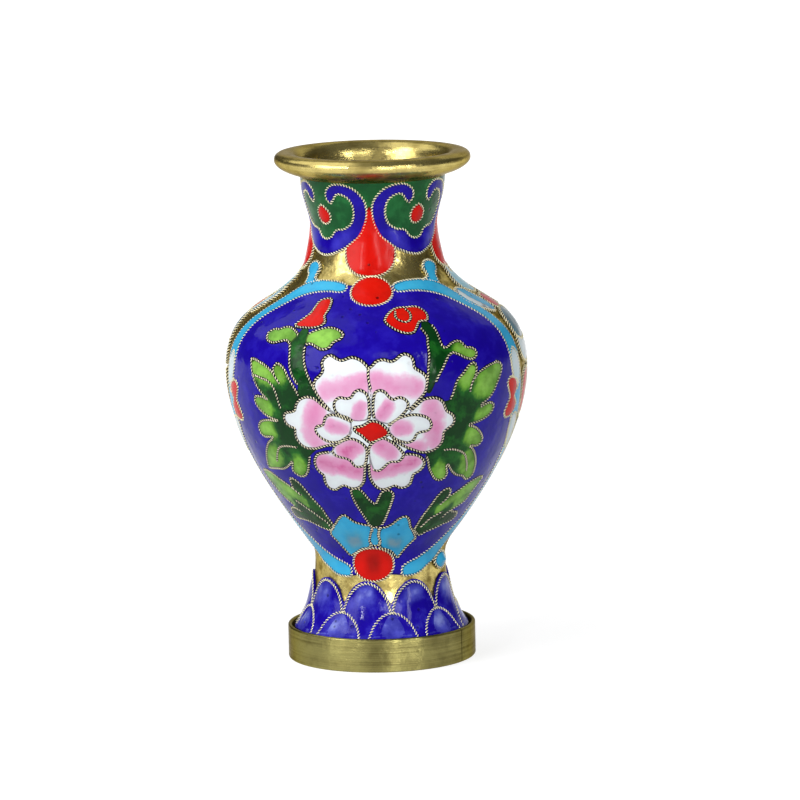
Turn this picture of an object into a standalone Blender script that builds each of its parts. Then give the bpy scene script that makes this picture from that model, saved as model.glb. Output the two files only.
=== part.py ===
"""Cloisonne vase: spun copper body, enamel cells between soldered wires, brass rim and brass foot band.

The drawing unit is the millimetre. Z is up from the table, the axis of the vase is the Z axis, and angles go
round from the middle of the front panel (-Y) towards +X. Enamel and wires are drawn flat, as angle and height,
and are then wrapped on the turned profile at a distance from it: zero is the polished enamel face.
"""

import math
from dataclasses import dataclass

import bmesh
import bpy
import numpy as np
from mathutils import Vector
from mathutils.geometry import delaunay_2d_cdt

MM = 0.001

# Heights of the stretches of the vase, from the table upwards
FOOT_BAND_HEIGHT = 6.6
HEM_TUCK = 0.3
ANKLE_HEIGHT = 14.2
BELLY_HEIGHT = 37.0
SHOULDER_HEIGHT = 28.0
NECK_HEIGHT = 9.8
RIM_HEIGHT = 4.7

# Radii of the enamel face at the ends of those stretches, and of the brass
FOOT_RADIUS = 18.45
WAIST_RADIUS = 13.3
GIRTH_RADIUS = 29.95
THROAT_RADIUS = 12.4
LIP_RADIUS = 14.45
RIM_RADIUS = 19.1

# Curve handles, as shares of the height of their stretch
WAIST_BELOW = 0.176
WAIST_ABOVE = 0.089
GIRTH_BELOW = 0.473
GIRTH_ABOVE = 0.643
THROAT_BELOW = 0.607
THROAT_ABOVE = 0.22
LIP_BELOW = 0.40
HEM_RISE = 0.24
HEM_SPLAY = 3.8
LIP_SPLAY = 0.2

# Metal
COPPER_WALL = 1.2
SEAM_LAP = 2.0
FOOT_BAND_WALL = 0.8
FOOT_BAND_ROUND = 0.3
SEAM_ANGLE = 61.0
SEAM_SLIT = 1.0
SKIRT_LIFT = 0.8
SKIRT_TOP_DROP = 1.0
BASE_RECESS = 1.6
BASE_THICKNESS = 1.0
RIM_HALF_WIDTH = 2.2
RIM_CROWN = 1.35
RIM_BELLY = 2.3

# Enamel and wires
ENAMEL = 0.9
BASE_COAT = 0.3
WIRE_WIDTH = 0.5
WIRE_DEPTH = 0.3
WIRE_PROUD = 0.2
CLEARANCE = 0.3
BACKING_GAP = 0.5

# Repeats of the bands of ornament
RUYI_COUNT = 4
LOTUS_COUNT = 9
LOTUS_TURN = 11.5
SIDE_ANGLE = 90.0

# Fineness of the facets
SHELL_SEGMENTS = 20
BRASS_SEGMENTS = 28
WALL_TOLERANCE = 0.2
DRAWING_TOLERANCE = 0.32
FACET_SAG = 0.27
WELD = 0.02

HEM_Z = FOOT_BAND_HEIGHT - HEM_TUCK
WAIST_Z = HEM_Z + ANKLE_HEIGHT
GIRTH_Z = WAIST_Z + BELLY_HEIGHT
THROAT_Z = GIRTH_Z + SHOULDER_HEIGHT
LIP_Z = THROAT_Z + NECK_HEIGHT
TOP_Z = LIP_Z + RIM_HEIGHT
HEM_RADIUS = FOOT_RADIUS - FOOT_BAND_WALL - CLEARANCE

# Heights at which the flat drawings were made: hem, waist, girth, throat and lip
DRAWN_HEIGHTS = (6.3, 20.5, 57.5, 85.5, 95.3)
# The panel is drawn in millimetres along a girth of this radius, with its own middle line at this place
DRAWN_GIRTH = 30.0
FLORA_AXIS = -1.8

TOP_JEWEL = ((0.7, 74.6), (7.3, 2.15))
BOTTOM_JEWEL = ((-1.3, 20.5), (9.0, 2.9))

BORDER = (
    (6.5, 75.3), (19.5, 74.5), (26.3, 73.4), (31.3, 70.0), (33.9, 65.0), (34.6, 55.0), (34.3, 42.0),
    (32.8, 31.0), (30.0, 24.6), (26.0, 22.3), (16.0, 20.4), (8.0, 19.8), (8.5, 18.7), (16.0, 18.0),
    (28.5, 20.0), (33.2, 23.2), (36.2, 31.0), (37.4, 45.0), (37.2, 62.0), (35.5, 69.0), (31.2, 73.8),
    (32.0, 78.2), (29.2, 79.6), (26.4, 77.6), (25.8, 75.9), (12.0, 76.4), (6.5, 76.1),
)
GROUND = (
    (0.0, 75.0), (12.0, 75.4), (22.0, 75.0), (30.0, 73.0), (34.5, 68.0), (36.0, 60.0), (36.0, 45.0),
    (35.0, 32.0), (31.5, 23.5), (26.0, 21.0), (18.0, 19.5), (8.0, 19.2), (0.0, 19.5),
)

HEART = (
    (-4.9, 50.0), (-0.8, 51.3), (2.3, 48.9), (0.3, 47.6), (-1.8, 47.1), (-3.4, 48.6),
)
# Whole outline of the six outer petals, clockwise from the notch at the top
PEONY = (
    (-1.3, 61.4), (1.5, 63.2), (6.2, 64.0), (9.9, 58.8), (8.0, 55.0), (12.2, 55.3), (16.0, 50.5), (13.9, 46.2),
    (9.2, 44.4), (10.4, 42.0), (7.2, 37.4), (1.3, 37.0), (-2.6, 41.2), (-5.5, 37.2), (-11.8, 36.8), (-14.7, 42.0),
    (-11.5, 45.2), (-15.8, 45.4), (-19.8, 50.8), (-14.4, 55.9), (-11.6, 55.0), (-12.6, 58.2), (-9.4, 64.0), (-4.2, 63.6),
)
# Ring between the outer and the inner petals, and the walls that part both rows, from the rim to the heart
ROSETTE = (
    (-1.3, 55.6), (3.4, 57.0), (5.7, 53.0), (10.8, 50.4), (6.4, 46.7), (3.6, 42.2), (-2.4, 43.4), (-7.8, 42.6),
    (-9.2, 46.7), (-12.8, 49.8), (-8.4, 53.2), (-5.8, 57.0),
)
PETAL_WALLS = (
    ((-1.3, 61.4), (-1.3, 55.6), (-0.8, 51.3)),
    ((8.0, 55.0), (5.7, 53.0), (1.2, 49.7)),
    ((9.2, 44.4), (6.4, 46.7), (2.3, 48.9)),
    ((-2.6, 41.2), (-2.4, 43.4), (-1.8, 47.1)),
    ((-11.5, 45.2), (-9.2, 46.7), (-3.4, 48.6)),
    ((-11.6, 55.0), (-8.4, 53.2), (-4.9, 50.0)),
)

FOLIAGE_LEFT = (
    (-9.0, 53.0), (-12.6, 57.5), (-15.3, 64.0), (-10.6, 65.2), (-7.4, 67.7), (-14.2, 68.6), (-15.0, 70.2),
    (-18.0, 70.2), (-18.6, 67.8), (-22.5, 68.6), (-26.8, 67.1), (-19.3, 65.6), (-16.5, 57.8), (-21.2, 61.9),
    (-22.4, 60.1), (-29.3, 62.0), (-27.4, 57.4), (-24.6, 54.9), (-27.9, 54.4), (-22.3, 50.7), (-28.5, 48.6),
    (-25.0, 46.7), (-31.3, 40.0), (-21.2, 42.2), (-20.4, 39.1), (-17.3, 40.5), (-15.7, 43.6), (-12.5, 46.0),
    (-9.0, 49.0),
)
LEAF_RIGHT = (
    (11.0, 52.5), (15.2, 55.0), (16.6, 58.2), (20.0, 60.0), (20.9, 58.2), (28.9, 60.2), (26.4, 55.2),
    (23.0, 52.8), (26.6, 52.2), (21.5, 49.3), (25.2, 45.4), (22.6, 44.2), (26.3, 37.9), (20.5, 38.7),
    (17.0, 41.0), (16.4, 38.2), (13.0, 39.6), (11.0, 43.4), (9.0, 48.0),
)
STEM_RIGHT = (
    (8.8, 57.0), (11.0, 64.4), (10.6, 69.4), (13.3, 70.2), (14.3, 64.9), (18.0, 65.7), (22.0, 63.5),
    (20.3, 62.1), (16.0, 63.7), (11.4, 57.4),
)
BUD_LEFT = (
    (-20.2, 69.0), (-17.9, 72.8), (-15.4, 73.5), (-13.4, 72.0), (-12.6, 69.7), (-15.5, 68.8),
)
BUD_RIGHT = (
    (2.4, 70.0), (5.0, 71.9), (12.3, 71.9), (13.7, 70.8), (8.8, 67.9), (6.0, 67.9),
)
SPRAY_LEFT = (
    (-15.9, 27.9), (-19.0, 34.0), (-23.6, 38.5), (-25.2, 37.0), (-30.5, 38.6), (-33.0, 38.2), (-30.8, 33.6),
    (-27.4, 31.8), (-31.9, 30.2), (-22.0, 28.4), (-18.0, 27.3),
)
SPRAY_RIGHT = (
    (11.6, 27.6), (15.5, 33.2), (19.0, 36.1), (20.8, 34.6), (26.6, 36.6), (29.2, 36.5), (27.4, 32.4),
    (22.8, 30.5), (27.8, 28.7), (18.0, 26.9), (13.5, 26.2),
)
FORK_LEAF = (
    (-2.6, 27.6), (-6.6, 33.2), (-6.2, 35.3), (-4.2, 35.3), (-1.1, 33.1), (1.2, 37.6), (3.6, 37.6),
    (2.8, 32.2), (0.6, 27.6),
)
BOW = (
    (-1.2, 28.2), (4.0, 29.2), (8.0, 30.7), (13.4, 25.7), (7.0, 21.4), (-9.5, 20.5), (-14.5, 23.2),
    (-18.4, 26.6), (-11.6, 31.0), (-8.0, 29.7),
)

# The right half of a cloud-head scroll, from its lowest point round the outside to the curl and back inside,
# as degrees from its middle and millimetres of height
RUYI_HALF = (
    (0.0, 80.9), (16.0, 81.7), (32.0, 84.1), (41.0, 87.6), (40.0, 91.1), (31.0, 93.4), (16.0, 93.9),
    (8.0, 92.6), (10.0, 91.1), (18.0, 92.0), (27.0, 91.3), (30.5, 88.9), (26.0, 86.6), (8.0, 85.1), (0.0, 83.8),
)
RUYI_SEED = ((0.0, 88.7), (7.0, 1.6))
# The right half of a hanging drop, from its tip down to its lowest point
DROP_HALF = (
    (0.0, 89.6), (4.0, 86.8), (12.0, 84.5), (22.3, 82.6), (20.0, 79.9), (11.0, 78.0), (0.0, 77.5),
)
# Right halves of the lotus arches of the foot, from the top down, and of the scalloped edge of their enamel
LOTUS_UPPER_HALF = ((0.0, 16.3), (12.5, 15.3), (20.0, 10.6))
LOTUS_LOWER_HALF = ((0.0, 10.9), (10.5, 9.7), (15.5, 6.0))
LOTUS_EDGE_HALF = ((0.0, 17.1), (11.0, 16.5), (20.0, 14.2))
# The right upper quarter of a side cartouche, as degrees and heights from its middle
CARTOUCHE_Z = 53.0
CARTOUCHE_QUARTER = ((0.0, 20.0), (6.0, 18.2), (8.5, 15.0), (7.0, 12.0), (9.0, 7.5), (10.5, 4.0), (10.8, 0.0))

GILT = ("gilt_copper", (0.72, 0.53, 0.19), 0.28, 1.0)
BRASS = ("polished_brass", (0.78, 0.62, 0.27), 0.16, 1.0)
BRUSHED = ("brushed_brass", (0.55, 0.46, 0.19), 0.34, 1.0)
COBALT = ("cobalt_enamel", (0.018, 0.008, 0.38), 0.14, 0.0)
TURQUOISE = ("turquoise_enamel", (0.06, 0.48, 0.72), 0.14, 0.0)
RED = ("red_enamel", (0.70, 0.012, 0.006), 0.16, 0.0)
GREEN = ("leaf_green_enamel", (0.010, 0.075, 0.014), 0.14, 0.0)
NECK_GREEN = ("neck_green_enamel", (0.012, 0.115, 0.035), 0.14, 0.0)
PETAL_PINK = ("petal_pink_enamel", (0.80, 0.56, 0.70), 0.16, 0.0)


@dataclass
class Fill:
    """A closed area of one enamel; a higher rank hides what it covers."""

    name: str
    outline: list
    rank: int


@dataclass
class Wire:
    """A soldered wire, drawn as a path; an inner wire stands on the base coat of one enamel."""

    path: list
    closed: bool
    rank: int
    inner: bool = False
    width: float = WIRE_WIDTH


def bezier(start, handle_a, handle_b, end, count=120):
    """Points of a cubic curve in radius and height."""
    t = np.linspace(0.0, 1.0, count)[:, None]
    a, b, c, d = (np.array(p, dtype=float) for p in (start, handle_a, handle_b, end))
    return a * (1 - t) ** 3 + 3 * b * t * (1 - t) ** 2 + 3 * c * t**2 * (1 - t) + d * t**3


def turned_profile():
    """The enamel face as one smooth line of radius and height, from the hem to the lip."""
    hem = (HEM_RADIUS, HEM_Z)
    waist = (WAIST_RADIUS, WAIST_Z)
    girth = (GIRTH_RADIUS, GIRTH_Z)
    throat = (THROAT_RADIUS, THROAT_Z)
    lip = (LIP_RADIUS, LIP_Z)
    stretches = [
        bezier(hem, (hem[0] - HEM_SPLAY, HEM_Z + HEM_RISE * ANKLE_HEIGHT),
               (waist[0], WAIST_Z - WAIST_BELOW * ANKLE_HEIGHT), waist),
        bezier(waist, (waist[0], WAIST_Z + WAIST_ABOVE * BELLY_HEIGHT),
               (girth[0], GIRTH_Z - GIRTH_BELOW * BELLY_HEIGHT), girth),
        bezier(girth, (girth[0], GIRTH_Z + GIRTH_ABOVE * SHOULDER_HEIGHT),
               (throat[0], THROAT_Z - THROAT_BELOW * SHOULDER_HEIGHT), throat),
        bezier(throat, (throat[0], THROAT_Z + THROAT_ABOVE * NECK_HEIGHT),
               (lip[0] - LIP_SPLAY, LIP_Z - LIP_BELOW * NECK_HEIGHT), lip),
    ]
    return np.vstack([stretches[0]] + [s[1:] for s in stretches[1:]])


PROFILE = turned_profile()
PROFILE_SLOPE = np.gradient(PROFILE[:, 0], PROFILE[:, 1])


def radius_at(z):
    """Radius of the enamel face at a height."""
    return float(np.interp(z, PROFILE[:, 1], PROFILE[:, 0]))


def slope_at(z):
    """Change of that radius with height."""
    return float(np.interp(z, PROFILE[:, 1], PROFILE_SLOPE))


def off_profile(z, distance):
    """Radius and height of a point that stands off the enamel face by a distance along its normal."""
    slope = slope_at(z)
    length = math.hypot(1.0, slope)
    return radius_at(z) + distance / length, z - distance * slope / length


def placed(angle, z, distance):
    """Point in space, in metres, for an angle in degrees, a height and a distance off the enamel face."""
    r, height = off_profile(z, distance)
    turn = math.radians(angle)
    return Vector((r * math.sin(turn), -r * math.cos(turn), height)) * MM


def vase_height(drawn):
    """Height on the vase for a height in the flat drawings, which stretch with the vase."""
    return float(np.interp(drawn, DRAWN_HEIGHTS, (HEM_Z, WAIST_Z, GIRTH_Z, THROAT_Z, LIP_Z)))


def band_points(points, turn=0.0, mirror=1.0):
    """Points drawn as degrees and heights, carried to the vase."""
    return [(turn + mirror * a, vase_height(z)) for a, z in points]


def panel_points(points, axis=0.0, mirror=1.0):
    """Points drawn as girth millimetres and heights, carried to the vase."""
    return [(mirror * math.degrees((x - axis) / DRAWN_GIRTH), vase_height(z)) for x, z in points]


def oval(centre, half, count=10):
    """Points of an oval in the units of its drawing."""
    turns = [2 * math.pi * i / count for i in range(count)]
    return [(centre[0] + half[0] * math.cos(t), centre[1] + half[1] * math.sin(t)) for t in turns]


def local_scale(z):
    """Millimetres on the surface for a degree round the vase and for a millimetre of height."""
    return math.radians(radius_at(z)), math.hypot(1.0, slope_at(z))


def longest_edge(z):
    """Length of a facet edge round the vase that falls short of the true curve by the allowed sag."""
    return math.sqrt(8.0 * FACET_SAG * radius_at(z))


def surface_gap(a, b):
    """Vector from a to b in millimetres on the surface."""
    sx, sz = local_scale(0.5 * (a[1] + b[1]))
    return (b[0] - a[0]) * sx, (b[1] - a[1]) * sz


def section_gap(a, b):
    """Vector from a to b in a section through the axis."""
    return b[0] - a[0], b[1] - a[1]


def thinned(path, tolerance=DRAWING_TOLERANCE, gap=surface_gap):
    """The path without the points that lie within a tolerance of a straight run."""
    if len(path) < 3:
        return list(path)
    dx, dz = gap(path[0], path[-1])
    length = math.hypot(dx, dz) or 1.0
    worst = 0.0
    split = 0
    for i in range(1, len(path) - 1):
        px, pz = gap(path[0], path[i])
        off = abs(px * dz - pz * dx) / length
        if off > worst:
            worst = off
            split = i
    if worst <= tolerance:
        return [path[0], path[-1]]
    return thinned(path[: split + 1], tolerance, gap)[:-1] + thinned(path[split:], tolerance, gap)


def evened(path, closed):
    """The path with its needless points taken out and its long runs divided."""
    if closed:
        middle = len(path) // 2
        path = thinned(path[: middle + 1])[:-1] + thinned(path[middle:] + path[:1])
    else:
        path = thinned(path)
    out = [path[0]]
    for a, b in zip(path, path[1:]):
        pieces = max(1, math.ceil(math.hypot(*surface_gap(a, b)) / longest_edge(0.5 * (a[1] + b[1]))))
        for k in range(1, pieces + 1):
            share = k / pieces
            out.append((a[0] + (b[0] - a[0]) * share, a[1] + (b[1] - a[1]) * share))
    return out[:-1] if closed else out


def inside(points, outline):
    """Which of the points lie inside a closed outline."""
    points = np.asarray(points, dtype=float)
    hit = np.zeros(len(points), dtype=bool)
    x, z = points[:, 0], points[:, 1]
    for (xa, za), (xb, zb) in zip(outline, list(outline[1:]) + [outline[0]]):
        crosses = (za > z) != (zb > z)
        if za != zb:
            hit ^= crosses & (x < (xb - xa) * (z - za) / (zb - za) + xa)
    return hit


def shown_runs(wire, fills):
    """The stretches of a wire that no higher fill hides, each with whether it is a closed loop."""
    covers = [f.outline for f in fills if f.rank > wire.rank]

    def hidden(point):
        return any(inside([point], outline)[0] for outline in covers)

    path = list(wire.path)
    state = [hidden(p) for p in path]
    if not any(state):
        return [(path, wire.closed)]
    if all(state):
        return []
    if wire.closed:
        first = state.index(True)
        path = path[first:] + path[:first] + [path[first]]
        state = state[first:] + state[:first] + [True]
    runs = []
    run = []
    for i, (point, covered) in enumerate(zip(path, state)):
        if i and covered != state[i - 1]:
            shown, under = (path[i - 1], point) if covered else (point, path[i - 1])
            for _ in range(20):
                half = ((shown[0] + under[0]) / 2, (shown[1] + under[1]) / 2)
                if hidden(half):
                    under = half
                else:
                    shown = half
            run.append(under)
            if covered:
                runs.append((run, False))
                run = []
        if not covered:
            run.append(point)
    if run:
        runs.append((run, False))
    return runs


def beside(path, closed, distance):
    """The path moved sideways by a distance on the surface, with its corners mitred."""
    out = []
    for i, point in enumerate(path):
        before = path[i - 1] if i or closed else None
        after = path[(i + 1) % len(path)] if i + 1 < len(path) or closed else None
        normals = []
        for a, b in ((before, point), (point, after)):
            if a is not None and b is not None:
                dx, dz = surface_gap(a, b)
                length = math.hypot(dx, dz) or 1.0
                normals.append((-dz / length, dx / length))
        nx = sum(n[0] for n in normals) / len(normals)
        nz = sum(n[1] for n in normals) / len(normals)
        size = max(nx * nx + nz * nz, 0.4)
        sx, sz = local_scale(point[1])
        out.append((point[0] + distance * nx / size / sx, point[1] + distance * nz / size / sz))
    return out


class FlatPlan:
    """A flat drawing of one zone, cut into wire, gap and enamel triangles."""

    def __init__(self, fills, wires, frame=()):
        self.fills = sorted(fills, key=lambda f: -f.rank)
        self.frame = list(frame)
        self.runs = []
        for wire in wires:
            for path, closed in shown_runs(wire, fills):
                self.runs.append((wire, path, closed))
        middle = np.mean([p[1] for f in fills for p in f.outline])
        self.flat = math.radians(radius_at(middle))
        self.triangulate()
        self.sort_triangles()

    def triangulate(self):
        """Divide the plane along every wire edge, every gap edge and the frame."""
        points = []
        edges = []

        def add(path, closed):
            start = len(points)
            points.extend(path)
            count = len(path)
            edges.extend((start + i, start + i + 1) for i in range(count - 1))
            if closed:
                edges.append((start + count - 1, start))

        for wire, path, closed in self.runs:
            for reach in (wire.width / 2, wire.width / 2 + CLEARANCE):
                if reach > 0:
                    left = beside(path, closed, reach)
                    right = beside(path, closed, -reach)
                    if closed:
                        add(left, True)
                        add(right, True)
                    else:
                        add(left + right[::-1], True)
        for a, b in self.frame:
            add([a, b], False)
        points.extend(self.grid_points())
        flat = [Vector((a * self.flat, z)) for a, z in points]
        verts, _, faces, _, _, _ = delaunay_2d_cdt(flat, edges, [], 0, WELD)
        self.points = np.array([(v.x / self.flat, v.y) for v in verts])
        self.triangles = np.array(faces, dtype=int)

    def grid_points(self):
        """Evenly spread points that let the wide areas follow the curve of the body."""
        corners = np.array([p for f in self.fills for p in f.outline])
        low, high = corners.min(axis=0), corners.max(axis=0)
        found = []
        spacing = []
        z = low[1] + longest_edge(low[1]) / 2
        row = 0
        while z < high[1]:
            sx, sz = local_scale(z)
            step = longest_edge(z)
            columns = np.arange(low[0] + (row % 2) * step / 2 / sx, high[0], step / sx)
            found.extend((a, z) for a in columns)
            spacing.extend(step for a in columns)
            z += step / sz
            row += 1
        found = np.array(found)
        clear = self.wire_distance(found)[0] > np.array(spacing) * 0.35
        return [tuple(p) for p in found[clear & (self.owners(found) >= 0)]]

    def owners(self, points):
        """Index of the topmost fill over each point, or -1."""
        owner = np.full(len(points), -1)
        for index in range(len(self.fills) - 1, -1, -1):
            owner[inside(points, self.fills[index].outline)] = index
        return owner

    def wire_distance(self, points):
        """Least distance from each point to an edge of a wire, and whether that wire is an inner one."""
        points = np.asarray(points, dtype=float)
        scale = np.array([local_scale(z) for z in points[:, 1]])
        ranks = np.array([f.rank for f in self.fills] + [-1])[self.owners(points)]
        least = np.full(len(points), 1e9)
        inner = np.zeros(len(points), dtype=bool)
        for wire, path, closed in self.runs:
            ends = path[1:] + path[:1] if closed else path[1:]
            for a, b in zip(path, ends):
                ab = (np.array(b) - a) * scale
                ap = (points - a) * scale
                share = np.clip((ap * ab).sum(axis=1) / np.maximum((ab * ab).sum(axis=1), 1e-9), 0.0, 1.0)
                gap = np.linalg.norm(ap - ab * share[:, None], axis=1) - wire.width / 2
                gap[ranks > wire.rank] = 1e9
                nearer = gap < least
                least[nearer] = gap[nearer]
                inner[nearer] = wire.inner
        return least, inner

    def sort_triangles(self):
        """Give each triangle its piece: a wire, a raised cell, the floor beside an inner wire, or none."""
        centres = self.points[self.triangles].mean(axis=1)
        gap, inner = self.wire_distance(centres)
        owner = self.owners(centres)
        self.names = []
        self.raised = gap >= CLEARANCE - 1e-6
        self.is_wire = gap < 0
        for i, index in enumerate(owner):
            keep = index >= 0 and (self.raised[i] or inner[i])
            self.names.append(self.fills[index].name if keep else "")
        self.names = np.array(self.names)

    def within(self, low, high):
        """Which triangles lie between two angles."""
        middle = self.points[self.triangles][:, :, 0].mean(axis=1)
        return (middle > low) & (middle < high)

    def cell(self, name, limit=None):
        """Triangles of one enamel, each with whether it is a raised one."""
        chosen = self.names == name
        if limit is not None:
            chosen = chosen & limit
        return simpler((self.points, self.triangles[chosen], self.raised[chosen]), self.flat)

    def wirework(self, limit=None):
        """Triangles of the wires."""
        chosen = self.is_wire if limit is None else self.is_wire & limit
        sheet = simpler((self.points, self.triangles[chosen], np.zeros(int(chosen.sum()), dtype=bool)), self.flat)
        return sheet[0], sheet[1], np.ones(len(sheet[1]), dtype=bool)


def simpler(sheet, flat):
    """The same flat sheet with its wires and floors in as few triangles as their edges allow."""
    points, triangles, raised = sheet
    bm = bmesh.new()
    made = {}
    for triangle, up in zip(triangles, raised):
        for corner in triangle:
            if corner not in made:
                made[corner] = bm.verts.new((points[corner][0] * flat, points[corner][1], 0.0))
        bm.faces.new([made[corner] for corner in triangle]).material_index = int(up)
    bm.normal_update()
    floors = [e for e in bm.edges if not any(f.material_index for f in e.link_faces)]
    corners = [v for v in bm.verts if not all(f.material_index for f in v.link_faces)]
    bmesh.ops.dissolve_limit(bm, angle_limit=math.radians(3.0), verts=corners, edges=floors, delimit={"MATERIAL"})
    long = [e for e in bm.edges if e.calc_length() > longest_edge(0.5 * (e.verts[0].co.y + e.verts[1].co.y)) * 1.1]
    bmesh.ops.subdivide_edges(bm, edges=long, cuts=1)
    bmesh.ops.triangulate(bm, faces=bm.faces[:])
    bm.verts.index_update()
    corners = np.array([(v.co.x / flat, v.co.y) for v in bm.verts])
    faces = np.array([[v.index for v in f.verts] for f in bm.faces], dtype=int)
    cells = np.array([f.material_index == 1 for f in bm.faces], dtype=bool)
    bm.free()
    return corners, faces, cells


def copies(sheet, turns, mirrors=(1.0,)):
    """The sheet repeated at each angle, each time as drawn and mirrored as asked."""
    points, triangles, raised = sheet
    parts = []
    for turn in turns:
        for mirror in mirrors:
            moved = points * (mirror, 1.0) + (turn, 0.0)
            parts.append((moved, triangles if mirror > 0 else triangles[:, ::-1], raised))
    return parts


def welded(parts):
    """One list of points and triangles for several sheets that meet along shared points."""
    points = []
    index = {}
    triangles = []
    raised = []
    for sheet_points, sheet_triangles, sheet_raised in parts:
        for triangle, up in zip(sheet_triangles, sheet_raised):
            corners = []
            for corner in triangle:
                angle, z = sheet_points[corner]
                key = (round(angle % 360.0 * 500) % 180000, round(z * 1000))
                if key not in index:
                    index[key] = len(points)
                    points.append((angle, z))
                corners.append(index[key])
            if len(set(corners)) == 3:
                triangles.append(tuple(corners))
                raised.append(bool(up))
    return points, triangles, raised


def fans(triangles, chosen):
    """For each corner point, its groups of chosen triangles that hang together by their edges there."""
    around = {}
    for t in chosen:
        for corner in triangles[t]:
            around.setdefault(corner, []).append(t)
    for corner, members in around.items():
        groups = []
        for t in members:
            others = set(triangles[t]) - {corner}
            joined = [g for g in groups if g[1] & others]
            merged = ([t], set(others))
            for g in joined:
                merged[0].extend(g[0])
                merged[1].update(g[1])
                groups.remove(g)
            groups.append(merged)
        if len(groups) > 1:
            yield sorted((g[0] for g in groups), key=len)


def without_pinches(triangles, chosen):
    """The chosen triangles less those that touch the rest at a single point only."""
    chosen = set(chosen)
    while True:
        loose = {t for groups in fans(triangles, chosen) for g in groups[:-1] for t in g}
        if not loose:
            return chosen
        chosen -= loose


def largest_body(triangles, chosen):
    """The largest group of the chosen triangles that hangs together by edges."""
    by_edge = {}
    for t in chosen:
        a, b, c = triangles[t]
        for edge in ((a, b), (b, c), (c, a)):
            by_edge.setdefault(frozenset(edge), []).append(t)
    left = set(chosen)
    best = set()
    while left:
        group = set()
        todo = [left.pop()]
        while todo:
            t = todo.pop()
            group.add(t)
            a, b, c = triangles[t]
            for edge in ((a, b), (b, c), (c, a)):
                for other in by_edge[frozenset(edge)]:
                    if other in left:
                        left.remove(other)
                        todo.append(other)
        if len(group) > len(best):
            best = group
    return best


def finish_material(finish):
    """The material of a finish, made once."""
    name, colour, roughness, metallic = finish
    material = bpy.data.materials.get(name)
    if material is None:
        material = bpy.data.materials.new(name)
        material.use_nodes = True
        shader = material.node_tree.nodes["Principled BSDF"]
        shader.inputs["Base Color"].default_value = (*colour, 1.0)
        shader.inputs["Roughness"].default_value = roughness
        shader.inputs["Metallic"].default_value = metallic
    return material


def add_object(name, bm, finish):
    """Put a mesh in the scene as one named piece."""
    bmesh.ops.recalc_face_normals(bm, faces=bm.faces[:])
    mesh = bpy.data.meshes.new(name)
    bm.to_mesh(mesh)
    bm.free()
    mesh.materials.append(finish_material(finish))
    bpy.context.collection.objects.link(bpy.data.objects.new(name, mesh))


def wrapped(name, parts, low, high, finish, floor=None):
    """A solid wrapped on the body: its flat sheet is extruded from the low to the high distance.

    Where a floor is given, the whole sheet is extruded to it first and only the raised cells go on to the top.
    """
    points, triangles, raised = welded(parts)
    chosen = largest_body(triangles, without_pinches(triangles, range(len(triangles))))
    cells = without_pinches(triangles, [t for t in chosen if raised[t]])
    if floor is None:
        chosen = largest_body(triangles, cells)
        cells = chosen
    bm = bmesh.new()
    angle_layer = bm.verts.layers.float.new("angle")
    height_layer = bm.verts.layers.float.new("height")
    raised_layer = bm.faces.layers.int.new("raised")
    made = {}
    for t in sorted(chosen):
        for corner in triangles[t]:
            if corner not in made:
                made[corner] = bm.verts.new((0.0, 0.0, 0.0))
                made[corner][angle_layer], made[corner][height_layer] = points[corner]
        face = bm.faces.new([made[corner] for corner in triangles[t]])
        face[raised_layer] = int(t in cells)

    def lift(faces, distance):
        grown = bmesh.ops.extrude_face_region(bm, geom=faces)["geom"]
        for v in grown:
            if isinstance(v, bmesh.types.BMVert):
                v.co = placed(v[angle_layer], v[height_layer], distance)
        return [f for f in grown if isinstance(f, bmesh.types.BMFace)]

    for v in bm.verts:
        v.co = placed(v[angle_layer], v[height_layer], low)
    top = lift(bm.faces[:], high if floor is None else floor)
    if floor is not None:
        upper = [f for f in top if f[raised_layer]]
        lift(upper, high)
        bmesh.ops.delete(bm, geom=[f for f in upper if f.is_valid], context="FACES")
    bmesh.ops.triangulate(bm, faces=[f for f in bm.faces if len(f.verts) > 3])
    add_object(name, bm, finish)


def enamel(name, parts, finish, floor=False):
    """A cell of enamel; with a floor, its inner wires stand in channels over the base coat."""
    wrapped(name, parts, -ENAMEL, 0.0, finish, -ENAMEL + BASE_COAT if floor else None)


def wirework(name, parts):
    """A soldered lattice of wires."""
    wrapped(name, parts, -WIRE_DEPTH, WIRE_PROUD, GILT)


def turned(name, outline, finish, segments=SHELL_SEGMENTS, start=0.0, sweep=360.0):
    """A piece turned about the axis from an outline of radius and height, in part or all the way round."""
    bm = bmesh.new()
    turn = math.radians(start)
    verts = [bm.verts.new(Vector((r * math.sin(turn), -r * math.cos(turn), z)) * MM) for r, z in outline]
    on_axis = outline[0][0] == 0.0
    edges = [bm.edges.new(pair) for pair in zip(verts, verts[1:])]
    if not on_axis:
        edges.append(bm.edges.new((verts[-1], verts[0])))
    whole = sweep >= 360.0
    if not whole:
        bm.faces.new(verts)
    end = bmesh.ops.spin(bm, geom=verts + edges, cent=(0.0, 0.0, 0.0), axis=(0.0, 0.0, 1.0),
                         angle=math.radians(sweep), steps=segments, use_merge=whole)["geom_last"]
    if not whole:
        bmesh.ops.contextual_create(bm, geom=[e for e in end if isinstance(e, bmesh.types.BMEdge)])
    bmesh.ops.remove_doubles(bm, verts=bm.verts[:], dist=0.00001)
    bmesh.ops.triangulate(bm, faces=bm.faces[:])
    add_object(name, bm, finish)


def wall(low, high, distance):
    """Points of the body's wall at a distance from the enamel face, from a low to a high place."""
    points = [off_profile(z, distance) for z in np.linspace(low, high, 40)]
    return thinned(points, WALL_TOLERANCE if distance == OUTSIDE else 2 * WALL_TOLERANCE, section_gap)


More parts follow.
